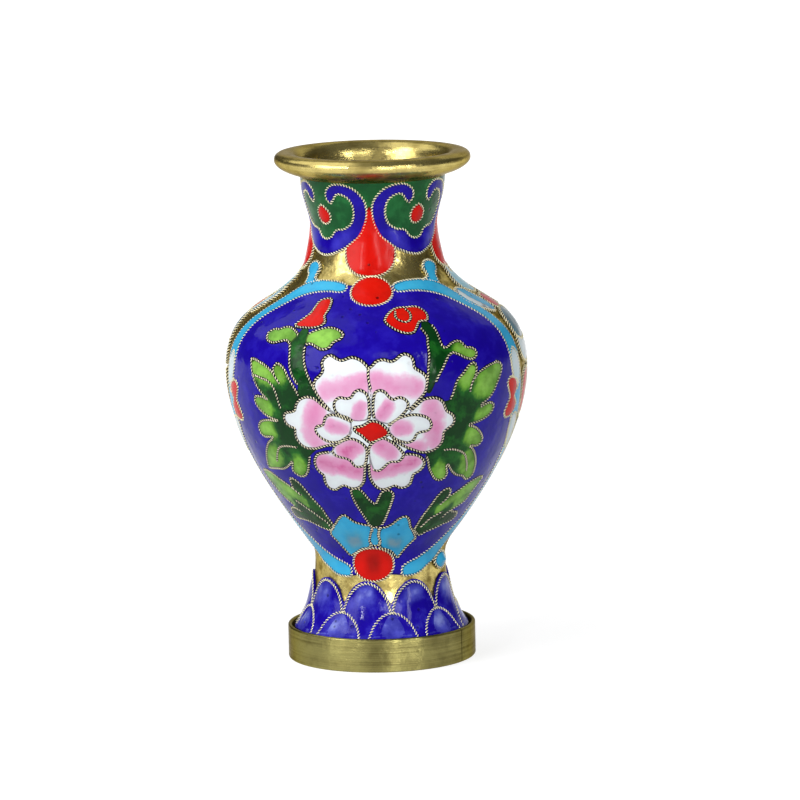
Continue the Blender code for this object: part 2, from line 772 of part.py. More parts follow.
OUTSIDE = -(ENAMEL + BACKING_GAP)
INSIDE = OUTSIDE - COPPER_WALL
LAP_OUTER = OUTSIDE - (COPPER_WALL - CLEARANCE) / 2
LAP_INNER = INSIDE + (COPPER_WALL - CLEARANCE) / 2


def lap_top(z):
    """The upper edge of a lower section: its outer half reaches up past the seam, its inner half stops below."""
    return [off_profile(z + SEAM_LAP / 2, OUTSIDE), off_profile(z + SEAM_LAP / 2, LAP_OUTER),
            off_profile(z - SEAM_LAP / 2 - CLEARANCE, LAP_OUTER), off_profile(z - SEAM_LAP / 2 - CLEARANCE, INSIDE)]


def lap_bottom(z):
    """The lower edge of an upper section: its inner half reaches down inside the lap, its outer half stops above."""
    return [off_profile(z - SEAM_LAP / 2, INSIDE), off_profile(z - SEAM_LAP / 2, LAP_INNER),
            off_profile(z + SEAM_LAP / 2 + CLEARANCE, LAP_INNER), off_profile(z + SEAM_LAP / 2 + CLEARANCE, OUTSIDE)]


def make_shells():
    """The four spun sections of the copper body, lapped into each other."""
    skirt = HEM_RADIUS
    skirt_top = HEM_Z - SKIRT_TOP_DROP
    inner_foot = wall(HEM_Z, WAIST_Z - SEAM_LAP, INSIDE)
    turned("foot_shell", [(skirt, SKIRT_LIFT), (skirt, skirt_top)] + wall(HEM_Z, WAIST_Z - SEAM_LAP, OUTSIDE)
           + lap_top(WAIST_Z) + inner_foot[::-1]
           + [(skirt - COPPER_WALL, inner_foot[0][1] - CLEARANCE), (skirt - COPPER_WALL, SKIRT_LIFT)], GILT)
    reach = 2.0 * SEAM_LAP
    turned("belly_shell", lap_bottom(WAIST_Z) + wall(WAIST_Z + reach, GIRTH_Z - reach, OUTSIDE)
           + lap_top(GIRTH_Z) + wall(WAIST_Z + reach, GIRTH_Z - reach, INSIDE)[::-1], GILT)
    turned("shoulder_shell", lap_bottom(GIRTH_Z) + wall(GIRTH_Z + reach, THROAT_Z - reach, OUTSIDE)
           + lap_top(THROAT_Z) + wall(GIRTH_Z + reach, THROAT_Z - reach, INSIDE)[::-1], GILT)
    turned("neck_shell", lap_bottom(THROAT_Z) + wall(THROAT_Z + SEAM_LAP, LIP_Z, OUTSIDE)
           + wall(THROAT_Z + SEAM_LAP, LIP_Z, INSIDE)[::-1], GILT)


def make_rim():
    """The brass lip: a full bead outside, running into a funnel that ends flush with the bore of the neck."""
    centre_r = RIM_RADIUS - RIM_HALF_WIDTH
    centre_z = TOP_Z - RIM_CROWN
    seat = LIP_Z + CLEARANCE
    bore = off_profile(LIP_Z, INSIDE)[0]
    bead = []
    for degrees in range(-90, 151, 30):
        turn = math.radians(degrees)
        rise = RIM_CROWN if degrees > 0 else RIM_BELLY
        bead.append((centre_r + RIM_HALF_WIDTH * math.cos(turn), centre_z + rise * math.sin(turn)))
    throat = [(bore + 0.35 * (bead[-1][0] - bore), seat + 0.55 * (bead[-1][1] - seat))]
    turned("rim_bead", [(bore, seat), (LIP_RADIUS, seat)] + bead + throat, BRASS,
           BRASS_SEGMENTS)


def make_foot():
    """The brass band, a strip bent to a ring with an open butt seam, and the disc that closes the foot."""
    inner = FOOT_RADIUS - FOOT_BAND_WALL
    rounding = []
    for degrees in (-90, -60, -30, 0):
        turn = math.radians(degrees)
        rounding.append((FOOT_RADIUS - FOOT_BAND_ROUND * (1 - math.cos(turn)),
                         FOOT_BAND_ROUND * (1 + math.sin(turn))))
    rounding[0] = (FOOT_RADIUS - FOOT_BAND_ROUND, 0.0)
    turned("foot_band", [(inner, 0.0)] + rounding + [(FOOT_RADIUS, FOOT_BAND_HEIGHT), (inner, FOOT_BAND_HEIGHT)],
           BRUSHED, BRASS_SEGMENTS, SEAM_ANGLE + SEAM_SLIT / 2, 360.0 - SEAM_SLIT)
    disc = HEM_RADIUS - COPPER_WALL - CLEARANCE
    turned("base_plate", [(0.0, BASE_RECESS), (disc, BASE_RECESS), (disc, BASE_RECESS + BASE_THICKNESS),
                          (0.0, BASE_RECESS + BASE_THICKNESS)], GILT)


def mirrored(half):
    """A closed outline from its right half, drawn from the axis and back to it."""
    return list(half) + [(-a, z) for a, z in half[-2:0:-1]]


def make_neck():
    """Four cloud-head scrolls with a seed in each and a red drop between them, on green."""
    pitch = 360.0 / RUYI_COUNT
    fit = pitch / 90.0
    top = LIP_Z - CLEARANCE

    def at(points, turn):
        return [(turn + a * fit, z) for a, z in band_points(points)]

    fills = []
    wires = []
    for side in (-1.0, 1.0):
        scroll = evened(at(mirrored(RUYI_HALF), side * pitch / 2), True)
        fills.append(Fill("scroll", scroll, 3))
        wires.append(Wire(scroll, True, 3))
        seed = at(oval(*RUYI_SEED, 8), side * pitch / 2)
        fills.append(Fill("seed", seed, 4))
        wires.append(Wire(seed, True, 4, width=0.0))
    drop = evened(at(mirrored(DROP_HALF), 0.0), True)
    fills.append(Fill("drop", drop, 2))
    wires.append(Wire(drop, True, 2))
    sill = at([(-60.0, 88.5), (60.0, 88.5)], 0.0)
    fills.append(Fill("ground", [(-pitch, top), (pitch, top), (pitch, sill[1][1]), (-pitch, sill[0][1])], 1))
    for a in (-pitch / 2, pitch / 2):
        low = at([(0.0, 83.8)], a)[0][1]
        hollow = at([(-32.0, 89.0), (-26.0, 86.6), (-10.0, 85.4), (0.0, 84.0), (10.0, 85.4), (26.0, 86.6),
                     (32.0, 89.0)], a)
        fills.append(Fill("ground", [(a, low)] + hollow[4:] + hollow[:3], 1))
    foot = vase_height(75.0)
    frame = [((x, foot), (x, LIP_Z)) for x in (0.0, pitch / 2)]
    frame.append(((-pitch / 2, top), (pitch, top)))
    plan = FlatPlan(fills, wires, frame)
    half = plan.within(0.0, pitch / 2) & (plan.points[plan.triangles][:, :, 1].mean(axis=1) < top)
    turns = [pitch * i for i in range(RUYI_COUNT)]
    both = (1.0, -1.0)
    enamel("neck_ground", copies(plan.cell("ground", half), turns, both), NECK_GREEN)
    for i, turn in enumerate(turns):
        enamel(f"neck_drop_{i + 1}", copies(plan.cell("drop", half), [turn], both), RED)
        for name, finish in (("scroll", COBALT), ("seed", RED)):
            sheet = plan.cell(name, half)
            pair = copies(sheet, [turn]) + copies(sheet, [turn + pitch], (-1.0,))
            enamel(f"neck_{name}_{i + 1}", pair, finish)
    wirework("neck_wires", copies(plan.wirework(half), turns, both))


def make_lotus():
    """Two rows of lotus arches on the flare of the foot, in one enamel with a scalloped upper edge."""
    pitch = 360.0 / LOTUS_COUNT
    fit = pitch / 40.0

    def arch(half, middle):
        points = [(-a, z) for a, z in half[:0:-1]] + list(half)
        return [(middle + a * fit, max(z, HEM_Z)) for a, z in band_points(points)]

    edge = arch(LOTUS_EDGE_HALF, 0.0)[:-1] + arch(LOTUS_EDGE_HALF, pitch)
    bottom = HEM_Z
    fills = [Fill("enamel", edge + [(edge[-1][0], bottom), (edge[0][0], bottom)], 1)]
    wires = []
    for middle in (-pitch / 2, pitch / 2, 1.5 * pitch):
        lower = evened(arch(LOTUS_LOWER_HALF, middle), False)
        wires.append(Wire(lower, False, 2, True))
        fills.append(Fill("enamel", lower, 2))
    for middle in (0.0, pitch):
        wires.append(Wire(evened(arch(LOTUS_UPPER_HALF, middle), False), False, 1, True))
    frame = [((x, bottom), (x, WAIST_Z)) for x in (0.0, pitch / 2)]
    frame.append(((-pitch / 2, bottom), (pitch, bottom)))
    frame.extend(zip(edge, edge[1:]))
    plan = FlatPlan(fills, wires, frame)
    half = plan.within(0.0, pitch / 2) & (plan.points[plan.triangles][:, :, 1].mean(axis=1) > bottom)
    turns = [LOTUS_TURN + pitch * (i + 0.5) for i in range(LOTUS_COUNT)]
    both = (1.0, -1.0)
    enamel("foot_enamel", copies(plan.cell("enamel", half), turns, both), COBALT, floor=True)
    wirework("foot_wires", copies(plan.wirework(half), turns, both))


def flora(points):
    """Points of the flower drawing, carried to the vase."""
    return panel_points(points, FLORA_AXIS)


def panel_drawing():
    """Fills and wires of one panel, with its flower, leaves, bow, jewels and border."""
    fills = [Fill("ground", panel_points(mirrored(GROUND)), 0)]
    wires = []

    def area(name, outline, rank):
        outline = evened(outline, True)
        fills.append(Fill(name, outline, rank))
        wires.append(Wire(outline, True, rank))

    area("border_right", panel_points(BORDER), 1)
    area("border_left", panel_points(BORDER, mirror=-1.0), 1)
    area("spray_left", flora(SPRAY_LEFT), 2)
    area("spray_right", flora(SPRAY_RIGHT), 2)
    area("fork_leaf", flora(FORK_LEAF), 3)
    area("foliage_left", flora(FOLIAGE_LEFT), 4)
    area("leaf_right", flora(LEAF_RIGHT), 4)
    area("stem_right", flora(STEM_RIGHT), 5)
    area("bow", flora(BOW), 6)
    area("bud_left", flora(BUD_LEFT), 7)
    area("bud_right", flora(BUD_RIGHT), 7)
    area("peony_petals", flora(PEONY), 8)
    wires.append(Wire(evened(flora(ROSETTE), True), True, 8, True))
    wires.extend(Wire(evened(flora(path), False), False, 8, True) for path in PETAL_WALLS)
    area("peony_heart", flora(HEART), 9)
    area("top_jewel", panel_points(oval(*TOP_JEWEL)), 10)
    area("bottom_jewel", panel_points(oval(*BOTTOM_JEWEL)), 10)
    return fills, wires


PANEL_CELLS = (
    ("ground", COBALT, False),
    ("peony_petals", PETAL_PINK, True),
    ("peony_heart", RED, False),
    ("foliage_left", GREEN, False),
    ("leaf_right", GREEN, False),
    ("stem_right", GREEN, False),
    ("bud_left", RED, False),
    ("bud_right", RED, False),
    ("spray_left", GREEN, False),
    ("spray_right", GREEN, False),
    ("fork_leaf", GREEN, False),
    ("bow", TURQUOISE, False),
    ("top_jewel", RED, False),
    ("bottom_jewel", RED, False),
    ("border_left", TURQUOISE, False),
    ("border_right", TURQUOISE, False),
)


def make_panels():
    """The same panel on the front and on the back."""
    plan = FlatPlan(*panel_drawing())
    for side, turn in (("front", 0.0), ("back", 180.0)):
        for name, finish, floor in PANEL_CELLS:
            enamel(f"{side}_{name}", copies(plan.cell(name), [turn]), finish, floor)
        wirework(f"{side}_wires", copies(plan.wirework(), [turn]))


def make_sides():
    """The narrow motif between the panels, on the bare gilt ground."""
    half = [(a, CARTOUCHE_Z + z) for a, z in CARTOUCHE_QUARTER]
    lower = [(a, CARTOUCHE_Z - z) for a, z in CARTOUCHE_QUARTER[-2::-1]]
    outline = evened(band_points(mirrored(half + lower)), True)
    plan = FlatPlan([Fill("cartouche", outline, 1)], [Wire(outline, True, 1, width=0.0)])
    for side, turn in (("left", -SIDE_ANGLE), ("right", SIDE_ANGLE)):
        enamel(f"side_cartouche_{side}", copies(plan.cell("cartouche"), [turn]), TURQUOISE)


def main():
    """Clear the scene and build every piece."""
    for item in list(bpy.data.objects):
        bpy.data.objects.remove(item, do_unlink=True)
    make_foot()
    make_shells()
    make_rim()
    make_neck()
    make_panels()
    make_sides()
    make_lotus()


main()
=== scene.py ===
"""Dressed scene of a small cloisonne vase: enamel cells, twisted wires, gilt copper and brass, in a white studio."""

import logging
import math
from dataclasses import dataclass, replace
from enum import Enum
from functools import cached_property
from typing import Dict, List, Optional, Sequence, Tuple, Union

import bmesh
import bpy
import numpy as np
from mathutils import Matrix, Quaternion, Vector


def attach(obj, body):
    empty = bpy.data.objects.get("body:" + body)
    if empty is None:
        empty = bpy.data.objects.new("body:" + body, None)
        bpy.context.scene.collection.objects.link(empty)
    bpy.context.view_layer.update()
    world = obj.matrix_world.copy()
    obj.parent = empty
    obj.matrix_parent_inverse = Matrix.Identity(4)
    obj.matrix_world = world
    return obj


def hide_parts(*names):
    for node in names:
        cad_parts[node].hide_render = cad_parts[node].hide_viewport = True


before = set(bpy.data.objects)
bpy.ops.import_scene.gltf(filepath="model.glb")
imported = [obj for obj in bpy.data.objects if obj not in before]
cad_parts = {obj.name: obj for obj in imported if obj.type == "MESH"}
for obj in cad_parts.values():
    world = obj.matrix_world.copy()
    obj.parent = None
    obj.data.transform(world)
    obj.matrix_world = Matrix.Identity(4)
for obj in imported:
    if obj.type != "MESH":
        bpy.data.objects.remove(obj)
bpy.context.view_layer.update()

LOG = logging.getLogger("vase")

Point = Tuple[float, float]
Points = Tuple[Point, ...]
Colour = Tuple[float, float, float]
Feed = Union[float, bpy.types.NodeSocket]
Tint = Union[Colour, bpy.types.NodeSocket]

MM = 0.001
GIRTH = 30.0  # radius in mm on which the panel is drawn flat
DEGREE = math.radians(GIRTH)  # girth millimetres in one degree
FLOWER_SHIFT = 1.8  # girth millimetres from the flower drawing's zero to the middle of the panel
OUTLINE_STEP = 0.42  # longest step along a cell's outline, in drawing millimetres
WELD = 2e-7  # points closer than this are one, in metres


def srgb(red: int, green: int, blue: int) -> Colour:
    """Linear colour of an eight-bit screen colour."""
    return tuple(((c / 255 + 0.055) / 1.055) ** 2.4 if c > 10 else c / 255 / 12.92 for c in (red, green, blue))


class Slot(Enum):
    """Finishes of the record that the pieces take."""

    GILT = "gilt_copper"
    POLISHED = "polished_brass"
    BRUSHED = "brushed_brass"
    COBALT = "cobalt_enamel"
    TURQUOISE = "turquoise_enamel"
    RED = "red_enamel"
    LEAF = "leaf_green_enamel"
    NECK = "neck_green_enamel"
    PETAL = "petal_pink_enamel"


class Side(Enum):
    """Left and right half of a mirrored drawing."""

    LEFT = -1
    RIGHT = 1


class Face(Enum):
    """The two panels, by their turn round the axis in degrees."""

    FRONT = 0.0
    BACK = 180.0


# Drawing on the flat


def flowing_line(points: Sequence[Point], closed: bool, step: float) -> np.ndarray:
    """Smooth line through given points.

    Args:
        points: Points of the line, in drawing millimetres.
        closed: Whether the last point runs on into the first.
        step: Longest distance between two points of the result.

    Returns:
        Array of points, without a repeated end point on a closed line.
    """
    fixed = np.asarray(points, dtype=float)
    count = len(fixed)
    runs = count if closed else count - 1
    reach = np.vstack([fixed[-1:], fixed, fixed[:2]]) if closed else np.vstack(
        [2 * fixed[:1] - fixed[1:2], fixed, 2 * fixed[-1:] - fixed[-2:-1]])
    chords = np.maximum(np.linalg.norm(np.diff(reach, axis=0), axis=1), 1e-6)
    line = []
    for i in range(runs):
        before, start, end, after = reach[i:i + 4]
        leave = (end - before) / (chords[i] + chords[i + 1]) * chords[i + 1]
        arrive = (after - start) / (chords[i + 1] + chords[i + 2]) * chords[i + 1]
        t = np.linspace(0, 1, max(2, math.ceil(chords[i + 1] / step) + 1))[:-1, None]
        line.append((2 * t ** 3 - 3 * t ** 2 + 1) * start + (t ** 3 - 2 * t ** 2 + t) * leave
                    + (3 * t ** 2 - 2 * t ** 3) * end + (t ** 3 - t ** 2) * arrive)
    if not closed:
        line.append(fixed[-1:])
    return np.vstack(line)


def within(points: np.ndarray, outline: np.ndarray) -> np.ndarray:
    """Marks the points that lie inside a closed outline.

    Args:
        points: Points to test.
        outline: Corners of the outline in order.

    Returns:
        One truth value for each point.
    """
    inside = np.zeros(len(points), dtype=bool)
    x, z = points[:, 0], points[:, 1]
    for (x1, z1), (x2, z2) in zip(outline, np.roll(outline, -1, axis=0)):
        if z1 == z2:
            continue
        spans = (z1 > z) != (z2 > z)
        inside ^= spans & (x < (x2 - x1) * (z - z1) / (z2 - z1) + x1)
    return inside


def oval(x: float, z: float, half_width: float, half_height: float, count: int = 28) -> Points:
    """Points of an upright oval."""
    turns = [math.tau * i / count for i in range(count)]
    return tuple((x + half_width * math.cos(t), z + half_height * math.sin(t)) for t in turns)


def mirrored(points: Sequence[Point], side: Side) -> Points:
    """Points of a right-hand drawing on the side asked for."""
    return tuple((x * side.value, z) for x, z in points)


def arched(left: Sequence[Point]) -> Points:
    """Symmetric line drawn as its left half, which ends on the middle."""
    return (*left, *((-x, z) for x, z in reversed(left[:-1])))


def whole(half: Sequence[Point]) -> Points:
    """Closed outline drawn as one half, which starts and ends on the middle."""
    return (*half, *((-x, z) for x, z in reversed(half[1:-1])))


def shifted(points: Sequence[Point], x: float) -> Points:
    """Points moved sideways."""
    return tuple((px + x, pz) for px, pz in points)


def from_degrees(points: Sequence[Point], middle: float = 0.0) -> Points:
    """Points given by their angle from a middle one, in girth millimetres."""
    return tuple(((angle + middle) * DEGREE, z) for angle, z in points)


@dataclass(frozen=True)
class Knot:
    """Turning point of the vase's outline, with the handles of the curves below and above it."""

    radius: float
    height: float
    lower: Point
    upper: Point


@dataclass(frozen=True)
class VaseProfile:
    """Turned outline of the enamel face, in millimetres."""

    knots: Tuple[Knot, ...] = (
        Knot(17.35, 6.3, (0.0, 0.0), (-3.8, 3.41)),
        Knot(13.45, 20.5, (0.0, -2.5), (0.0, 4.0)),
        Knot(29.68, 57.5, (0.0, -16.7), (0.0, 17.2)),
        Knot(12.4, 85.5, (0.0, -17.0), (0.0, 2.16)),
        Knot(14.45, 95.3, (-0.2, -3.92), (0.0, 0.0)),
    )
    samples: int = 90

    @cached_property
    def outline(self) -> np.ndarray:
        """Radius and height of the face, from the hem up."""
        t = np.linspace(0, 1, self.samples)[:, None]
        runs = []
        for low, high in zip(self.knots, self.knots[1:]):
            start = np.array((low.radius, low.height))
            end = np.array((high.radius, high.height))
            runs.append((1 - t) ** 3 * start + 3 * (1 - t) ** 2 * t * (start + low.upper)
                        + 3 * (1 - t) * t ** 2 * (end + high.lower) + t ** 3 * end)
        return np.vstack([runs[0]] + [run[1:] for run in runs[1:]])

    def radius(self, height: np.ndarray) -> np.ndarray:
        """Radius of the face at each height."""
        return np.interp(height, self.outline[:, 1], self.outline[:, 0])

    def slope(self, height: np.ndarray) -> np.ndarray:
        """Change of radius with height."""
        reach = 0.05
        return (self.radius(height + reach) - self.radius(height - reach)) / (2 * reach)

    def place(self, x: np.ndarray, height: np.ndarray, lift: np.ndarray, turn: float) -> np.ndarray:
        """Wraps flat points round the vase.

        Args:
            x: Girth millimetres from the middle of the drawing.
            height: Heights in millimetres.
            lift: Distances out from the enamel face.
            turn: Turn of the drawing round the axis in degrees.

        Returns:
            Positions in metres.
        """
        lean = self.slope(height)
        length = np.hypot(1, lean)
        radius = self.radius(height) + lift / length
        angle = x / GIRTH + math.radians(turn)
        return np.column_stack(
            [radius * np.sin(angle), -radius * np.cos(angle), height - lift * lean / length]) * MM

    def true_distance(self, points: np.ndarray, outline: np.ndarray) -> np.ndarray:
        """Distance in millimetres on the vase from each flat point to the nearest point of an outline."""
        across = (self.radius(points[:, 1]) / GIRTH)[:, None]
        along = np.hypot(1, self.slope(points[:, 1]))[:, None]
        gap = (across * (points[:, :1] - outline[None, :, 0])) ** 2
        gap += (along * (points[:, 1:] - outline[None, :, 1])) ** 2
        return np.sqrt(gap.min(axis=1))


PROFILE = VaseProfile()


# Finishes


class Graph:
    """Short way to add nodes to one node tree and to join them."""

    def __init__(self, tree: bpy.types.NodeTree) -> None:
        """Keeps the tree."""
        self.tree = tree

    def add(self, kind: str, inputs: Optional[Dict] = None, **settings) -> bpy.types.Node:
        """Adds a node.

        Args:
            kind: Node type without its ShaderNode prefix.
            inputs: Values or sockets for its inputs, by name or number.
            settings: Properties of the node.

        Returns:
            The node.
        """
        node = self.tree.nodes.new("ShaderNode" + kind if not kind.startswith("NodeGroup") else kind)
        for name, value in settings.items():
            setattr(node, name, value)
        for key, value in (inputs or {}).items():
            if isinstance(value, bpy.types.NodeSocket):
                self.tree.links.new(value, node.inputs[key])
            else:
                node.inputs[key].default_value = value
        return node

    def math(self, operation: str, *values: Feed, clamp: bool = False) -> bpy.types.NodeSocket:
        """Result of a calculation on values or sockets."""
        return self.add("Math", dict(enumerate(values)), operation=operation, use_clamp=clamp).outputs[0]

    def mix(self, factor: Feed, first: Tint, second: Tint) -> bpy.types.NodeSocket:
        """Mix of two colours or colour sockets."""
        pair = [value if isinstance(value, bpy.types.NodeSocket) else (*value, 1.0) for value in (first, second)]
        return self.add("Mix", {0: factor, 6: pair[0], 7: pair[1]}, data_type="RGBA").outputs[2]

    def spread(self, value: Feed, low: float, high: float, to_low: float = 0.0,
               to_high: float = 1.0) -> bpy.types.NodeSocket:
        """Value moved from one range to another, with soft ends."""
        return self.add("MapRange", {0: value, 1: low, 2: high, 3: to_low, 4: to_high},
                        interpolation_type="SMOOTHSTEP").outputs[0]

    def shown_background(self) -> bpy.types.NodeSocket:
        """One where the camera sees the background itself, or sees it in metal or glass."""
        path = self.add("LightPath")
        mirrored_too = self.math("MAXIMUM", path.outputs["Is Camera Ray"], path.outputs["Is Glossy Ray"])
        return self.math("MAXIMUM", mirrored_too, path.outputs["Is Transmission Ray"])


class SharedEffects:
    """Shader node groups that several finishes use."""

    _made: Dict[str, bpy.types.NodeTree] = {}

    @classmethod
    def fired_glass(cls) -> bpy.types.NodeTree:
        """Clouds, pits and the slow ripple of ground enamel."""
        if "fired_glass" not in cls._made:
            graph, start = cls._new("fired_glass", {"Cloud Scale": 260.0, "Pit Scale": 620.0},
                                    ("Cloud", "Pits", "Ripple"))
            place = graph.add("TexCoord").outputs["Object"]
            cloud = graph.add("TexNoise", {"Vector": place, "Scale": start.outputs["Cloud Scale"], "Detail": 4.0,
                                           "Roughness": 0.62}).outputs["Fac"]
            cells = graph.add("TexVoronoi", {"Vector": place, "Scale": start.outputs["Pit Scale"]})
            chance = graph.add("SeparateColor", {0: cells.outputs["Color"]}).outputs[0]
            hole = graph.spread(cells.outputs["Distance"], 0.10, 0.26, 1.0, 0.0)
            pits = graph.math("MULTIPLY", hole, graph.spread(chance, 0.80, 0.84))
            wave = graph.add("TexNoise", {"Vector": place, "Scale": 330.0, "Detail": 2.0}).outputs["Fac"]
            ripple = graph.math("SUBTRACT", wave, graph.math("MULTIPLY", pits, 0.5))
            cls._end(graph, (graph.spread(cloud, 0.3, 0.7), pits, ripple))
        return cls._made["fired_glass"]

    @classmethod
    def worked_metal(cls) -> bpy.types.NodeTree:
        """Stains, fine lines drawn round the vase and hammered unevenness of metal."""
        if "worked_metal" not in cls._made:
            graph, start = cls._new("worked_metal", {"Stain Scale": 180.0, "Line Scale": 9000.0},
                                    ("Stain", "Lines", "Ripple"))
            place = graph.add("TexCoord").outputs["Object"]
            stain = graph.add("TexNoise", {"Vector": place, "Scale": start.outputs["Stain Scale"], "Detail": 6.0,
                                           "Roughness": 0.68}).outputs["Fac"]
            flat = graph.add("VectorMath", {0: place, 1: (0.012, 0.012, 1.0)}, operation="MULTIPLY").outputs[0]
            lines = graph.add("TexNoise", {"Vector": flat, "Scale": start.outputs["Line Scale"], "Detail": 3.0,
                                           "Roughness": 0.7}).outputs["Fac"]
            wave = graph.add("TexNoise", {"Vector": place, "Scale": 420.0, "Detail": 3.0}).outputs["Fac"]
            cls._end(graph, (graph.spread(stain, 0.35, 0.72), lines, wave))
        return cls._made["worked_metal"]

    @classmethod
    def _new(cls, name: str, inputs: Dict[str, float], outputs: Sequence[str]) -> Tuple[Graph, bpy.types.Node]:
        """Graph and input node of a new group with its sockets."""
        tree = bpy.data.node_groups.new(name, "ShaderNodeTree")
        for title, value in inputs.items():
            tree.interface.new_socket(title, in_out="INPUT", socket_type="NodeSocketFloat").default_value = value
        for title in outputs:
            tree.interface.new_socket(title, in_out="OUTPUT", socket_type="NodeSocketFloat")
        graph = Graph(tree)
        cls._made[name] = tree
        return graph, graph.add("NodeGroupInput")

    @staticmethod
    def _end(graph: Graph, results: Sequence[bpy.types.NodeSocket]) -> None:
        """Joins the results to the group's outputs."""
        graph.add("NodeGroupOutput", dict(enumerate(results)))


class Finish:
    """A surface finish, made once and shared by its pieces."""

    name: str
    slot: Slot
    _made: Dict[str, bpy.types.Material] = {}

    def material(self) -> bpy.types.Material:
        """Material of the finish."""
        if self.name not in self._made:
            made = bpy.data.materials.new(self.name)
            made.use_nodes = True
            graph = Graph(made.node_tree)
            self.dress(graph, made.node_tree.nodes["Principled BSDF"])
            self._made[self.name] = made
        return self._made[self.name]

    def dress(self, graph: Graph, shader: bpy.types.Node) -> None:
        """Sets the shader up; each kind of finish has its own way."""
        raise NotImplementedError


@dataclass(frozen=True)
class EnamelFinish(Finish):
    """Ground and polished enamel, whose tone follows the bloom painted into each cell, with painted shade and a painted
    shadow line just inside each cell's outline, next to the wires.
    """

    name: str
    slot: Slot
    tones: Tuple[Colour, ...]
    deep: Colour
    steps: Tuple[float, ...] = (0.0, 0.5, 1.0)
    depth: float = 0.45
    wander: float = 0.5
    pits: float = 0.6
    gloss: float = 0.13
    patchy: float = 0.05
    stray: float = 0.6
    # Painted shade along each cell's outline, and a painted shadow line a little inside it, where the wires shade the
    # enamel:
    outline_shadow: float = 0.25
    shadow_line_from: float = 0.16
    shadow_line_to: float = 0.34
    shadow_line_weight: float = 0.75
    shadow_line_dark: float = 0.2
    pit_dark: float = 0.25
    ripple_strength: float = 0.35
    ripple_depth: float = 0.0005
    index: float = 1.5
    mirror: float = 0.12

    def dress(self, graph: Graph, shader: bpy.types.Node) -> None:
        """Sets the shader up from clouds, bloom and pits, with painted shade and a painted shadow line along each
        outline.
        """
        glass = graph.add("Group", {}, node_tree=SharedEffects.fired_glass())
        cloud, pits, ripple = (glass.outputs[title] for title in ("Cloud", "Pits", "Ripple"))
        bloom = graph.add("Attribute", {}, attribute_name="bloom").outputs["Fac"]
        edge = graph.add("Attribute", {}, attribute_name="edge").outputs["Fac"]
        swing = graph.math("SUBTRACT", cloud, 0.5)
        strayed = graph.math("MULTIPLY_ADD", swing, self.wander * self.stray, bloom, clamp=True)
        ramp = graph.add("ValToRGB", {0: strayed})
        stops = ramp.color_ramp.elements
        while len(stops) < len(self.tones):
            stops.new(0.5)
        for stop, tone, step in zip(stops, self.tones, self.steps):
            stop.position = step
            stop.color = (*tone, 1.0)
        shade = graph.math("MULTIPLY", graph.math("SUBTRACT", 1.0, cloud), self.depth)
        tone = graph.mix(shade, ramp.outputs[0], self.deep)
        # Painted shade: the tone darkens towards the cell's outline, next to the wires.
        rim = graph.math("MULTIPLY", graph.math("SUBTRACT", 1.0, edge), self.outline_shadow)
        tone = graph.mix(rim, tone, self.deep)
        # Painted shadow: a near-black line a little inside the outline, along the wires.
        line = graph.spread(edge, self.shadow_line_from, self.shadow_line_to, self.shadow_line_weight, 0.0)
        tone = graph.mix(line, tone, tuple(self.shadow_line_dark * c for c in self.deep))
        pitted = graph.math("MULTIPLY", pits, self.pits)
        tone = graph.mix(pitted, tone, tuple(self.pit_dark * c for c in self.deep))
        graph.tree.links.new(tone, shader.inputs["Base Color"])
        rough = graph.math("MULTIPLY_ADD", graph.math("ADD", pits, cloud), self.patchy, self.gloss)
        graph.tree.links.new(rough, shader.inputs["Roughness"])
        bump = graph.add("Bump", {"Height": ripple, "Strength": self.ripple_strength,
                                  "Distance": self.ripple_depth})
        graph.tree.links.new(bump.outputs[0], shader.inputs["Normal"])
        shader.inputs["IOR"].default_value = self.index
        shader.inputs["Specular IOR Level"].default_value = self.mirror


@dataclass(frozen=True)
class MetalFinish(Finish):
    """Gilt copper or brass with stains and fine lines."""

    name: str
    slot: Slot
    bright: Colour
    dull: Colour
    stain: float = 0.6
    gloss: float = 0.2
    lines: float = 0.0
    uneven: float = 0.0004
    line_scale: float = 9000.0
    stain_scale: float = 180.0
    drawn: float = 0.0
    drawn_turn: float = 0.25
    dull_rough: float = 0.22
    line_relief: float = 0.6
    relief: float = 0.5
    edge_tint: Colour = (0.5, 0.45, 0.36)

    def dress(self, graph: Graph, shader: bpy.types.Node) -> None:
        """Sets the shader up from stains, drawn lines and unevenness."""
        metal = graph.add("Group", {}, node_tree=SharedEffects.worked_metal())
        metal.inputs["Line Scale"].default_value = self.line_scale
        metal.inputs["Stain Scale"].default_value = self.stain_scale
        stain, lines, ripple = (metal.outputs[title] for title in ("Stain", "Lines", "Ripple"))
        dulled = graph.math("MULTIPLY_ADD", graph.math("SUBTRACT", lines, 0.5), self.lines * 2.0,
                            graph.math("MULTIPLY", stain, self.stain), clamp=True)
        graph.tree.links.new(graph.mix(dulled, self.bright, self.dull), shader.inputs["Base Color"])
        rough = graph.math("MULTIPLY_ADD", dulled, self.dull_rough, self.gloss)
        graph.tree.links.new(rough, shader.inputs["Roughness"])
        height = graph.math("MULTIPLY_ADD", lines, self.lines * self.line_relief, ripple)
        bump = graph.add("Bump", {"Height": height, "Strength": self.relief, "Distance": self.uneven})
        graph.tree.links.new(bump.outputs[0], shader.inputs["Normal"])
        shader.inputs["Metallic"].default_value = 1.0
        shader.inputs["Specular Tint"].default_value = (*self.edge_tint, 1.0)
        shader.inputs["Anisotropic"].default_value = self.drawn
        shader.inputs["Anisotropic Rotation"].default_value = self.drawn_turn if self.drawn else 0.0


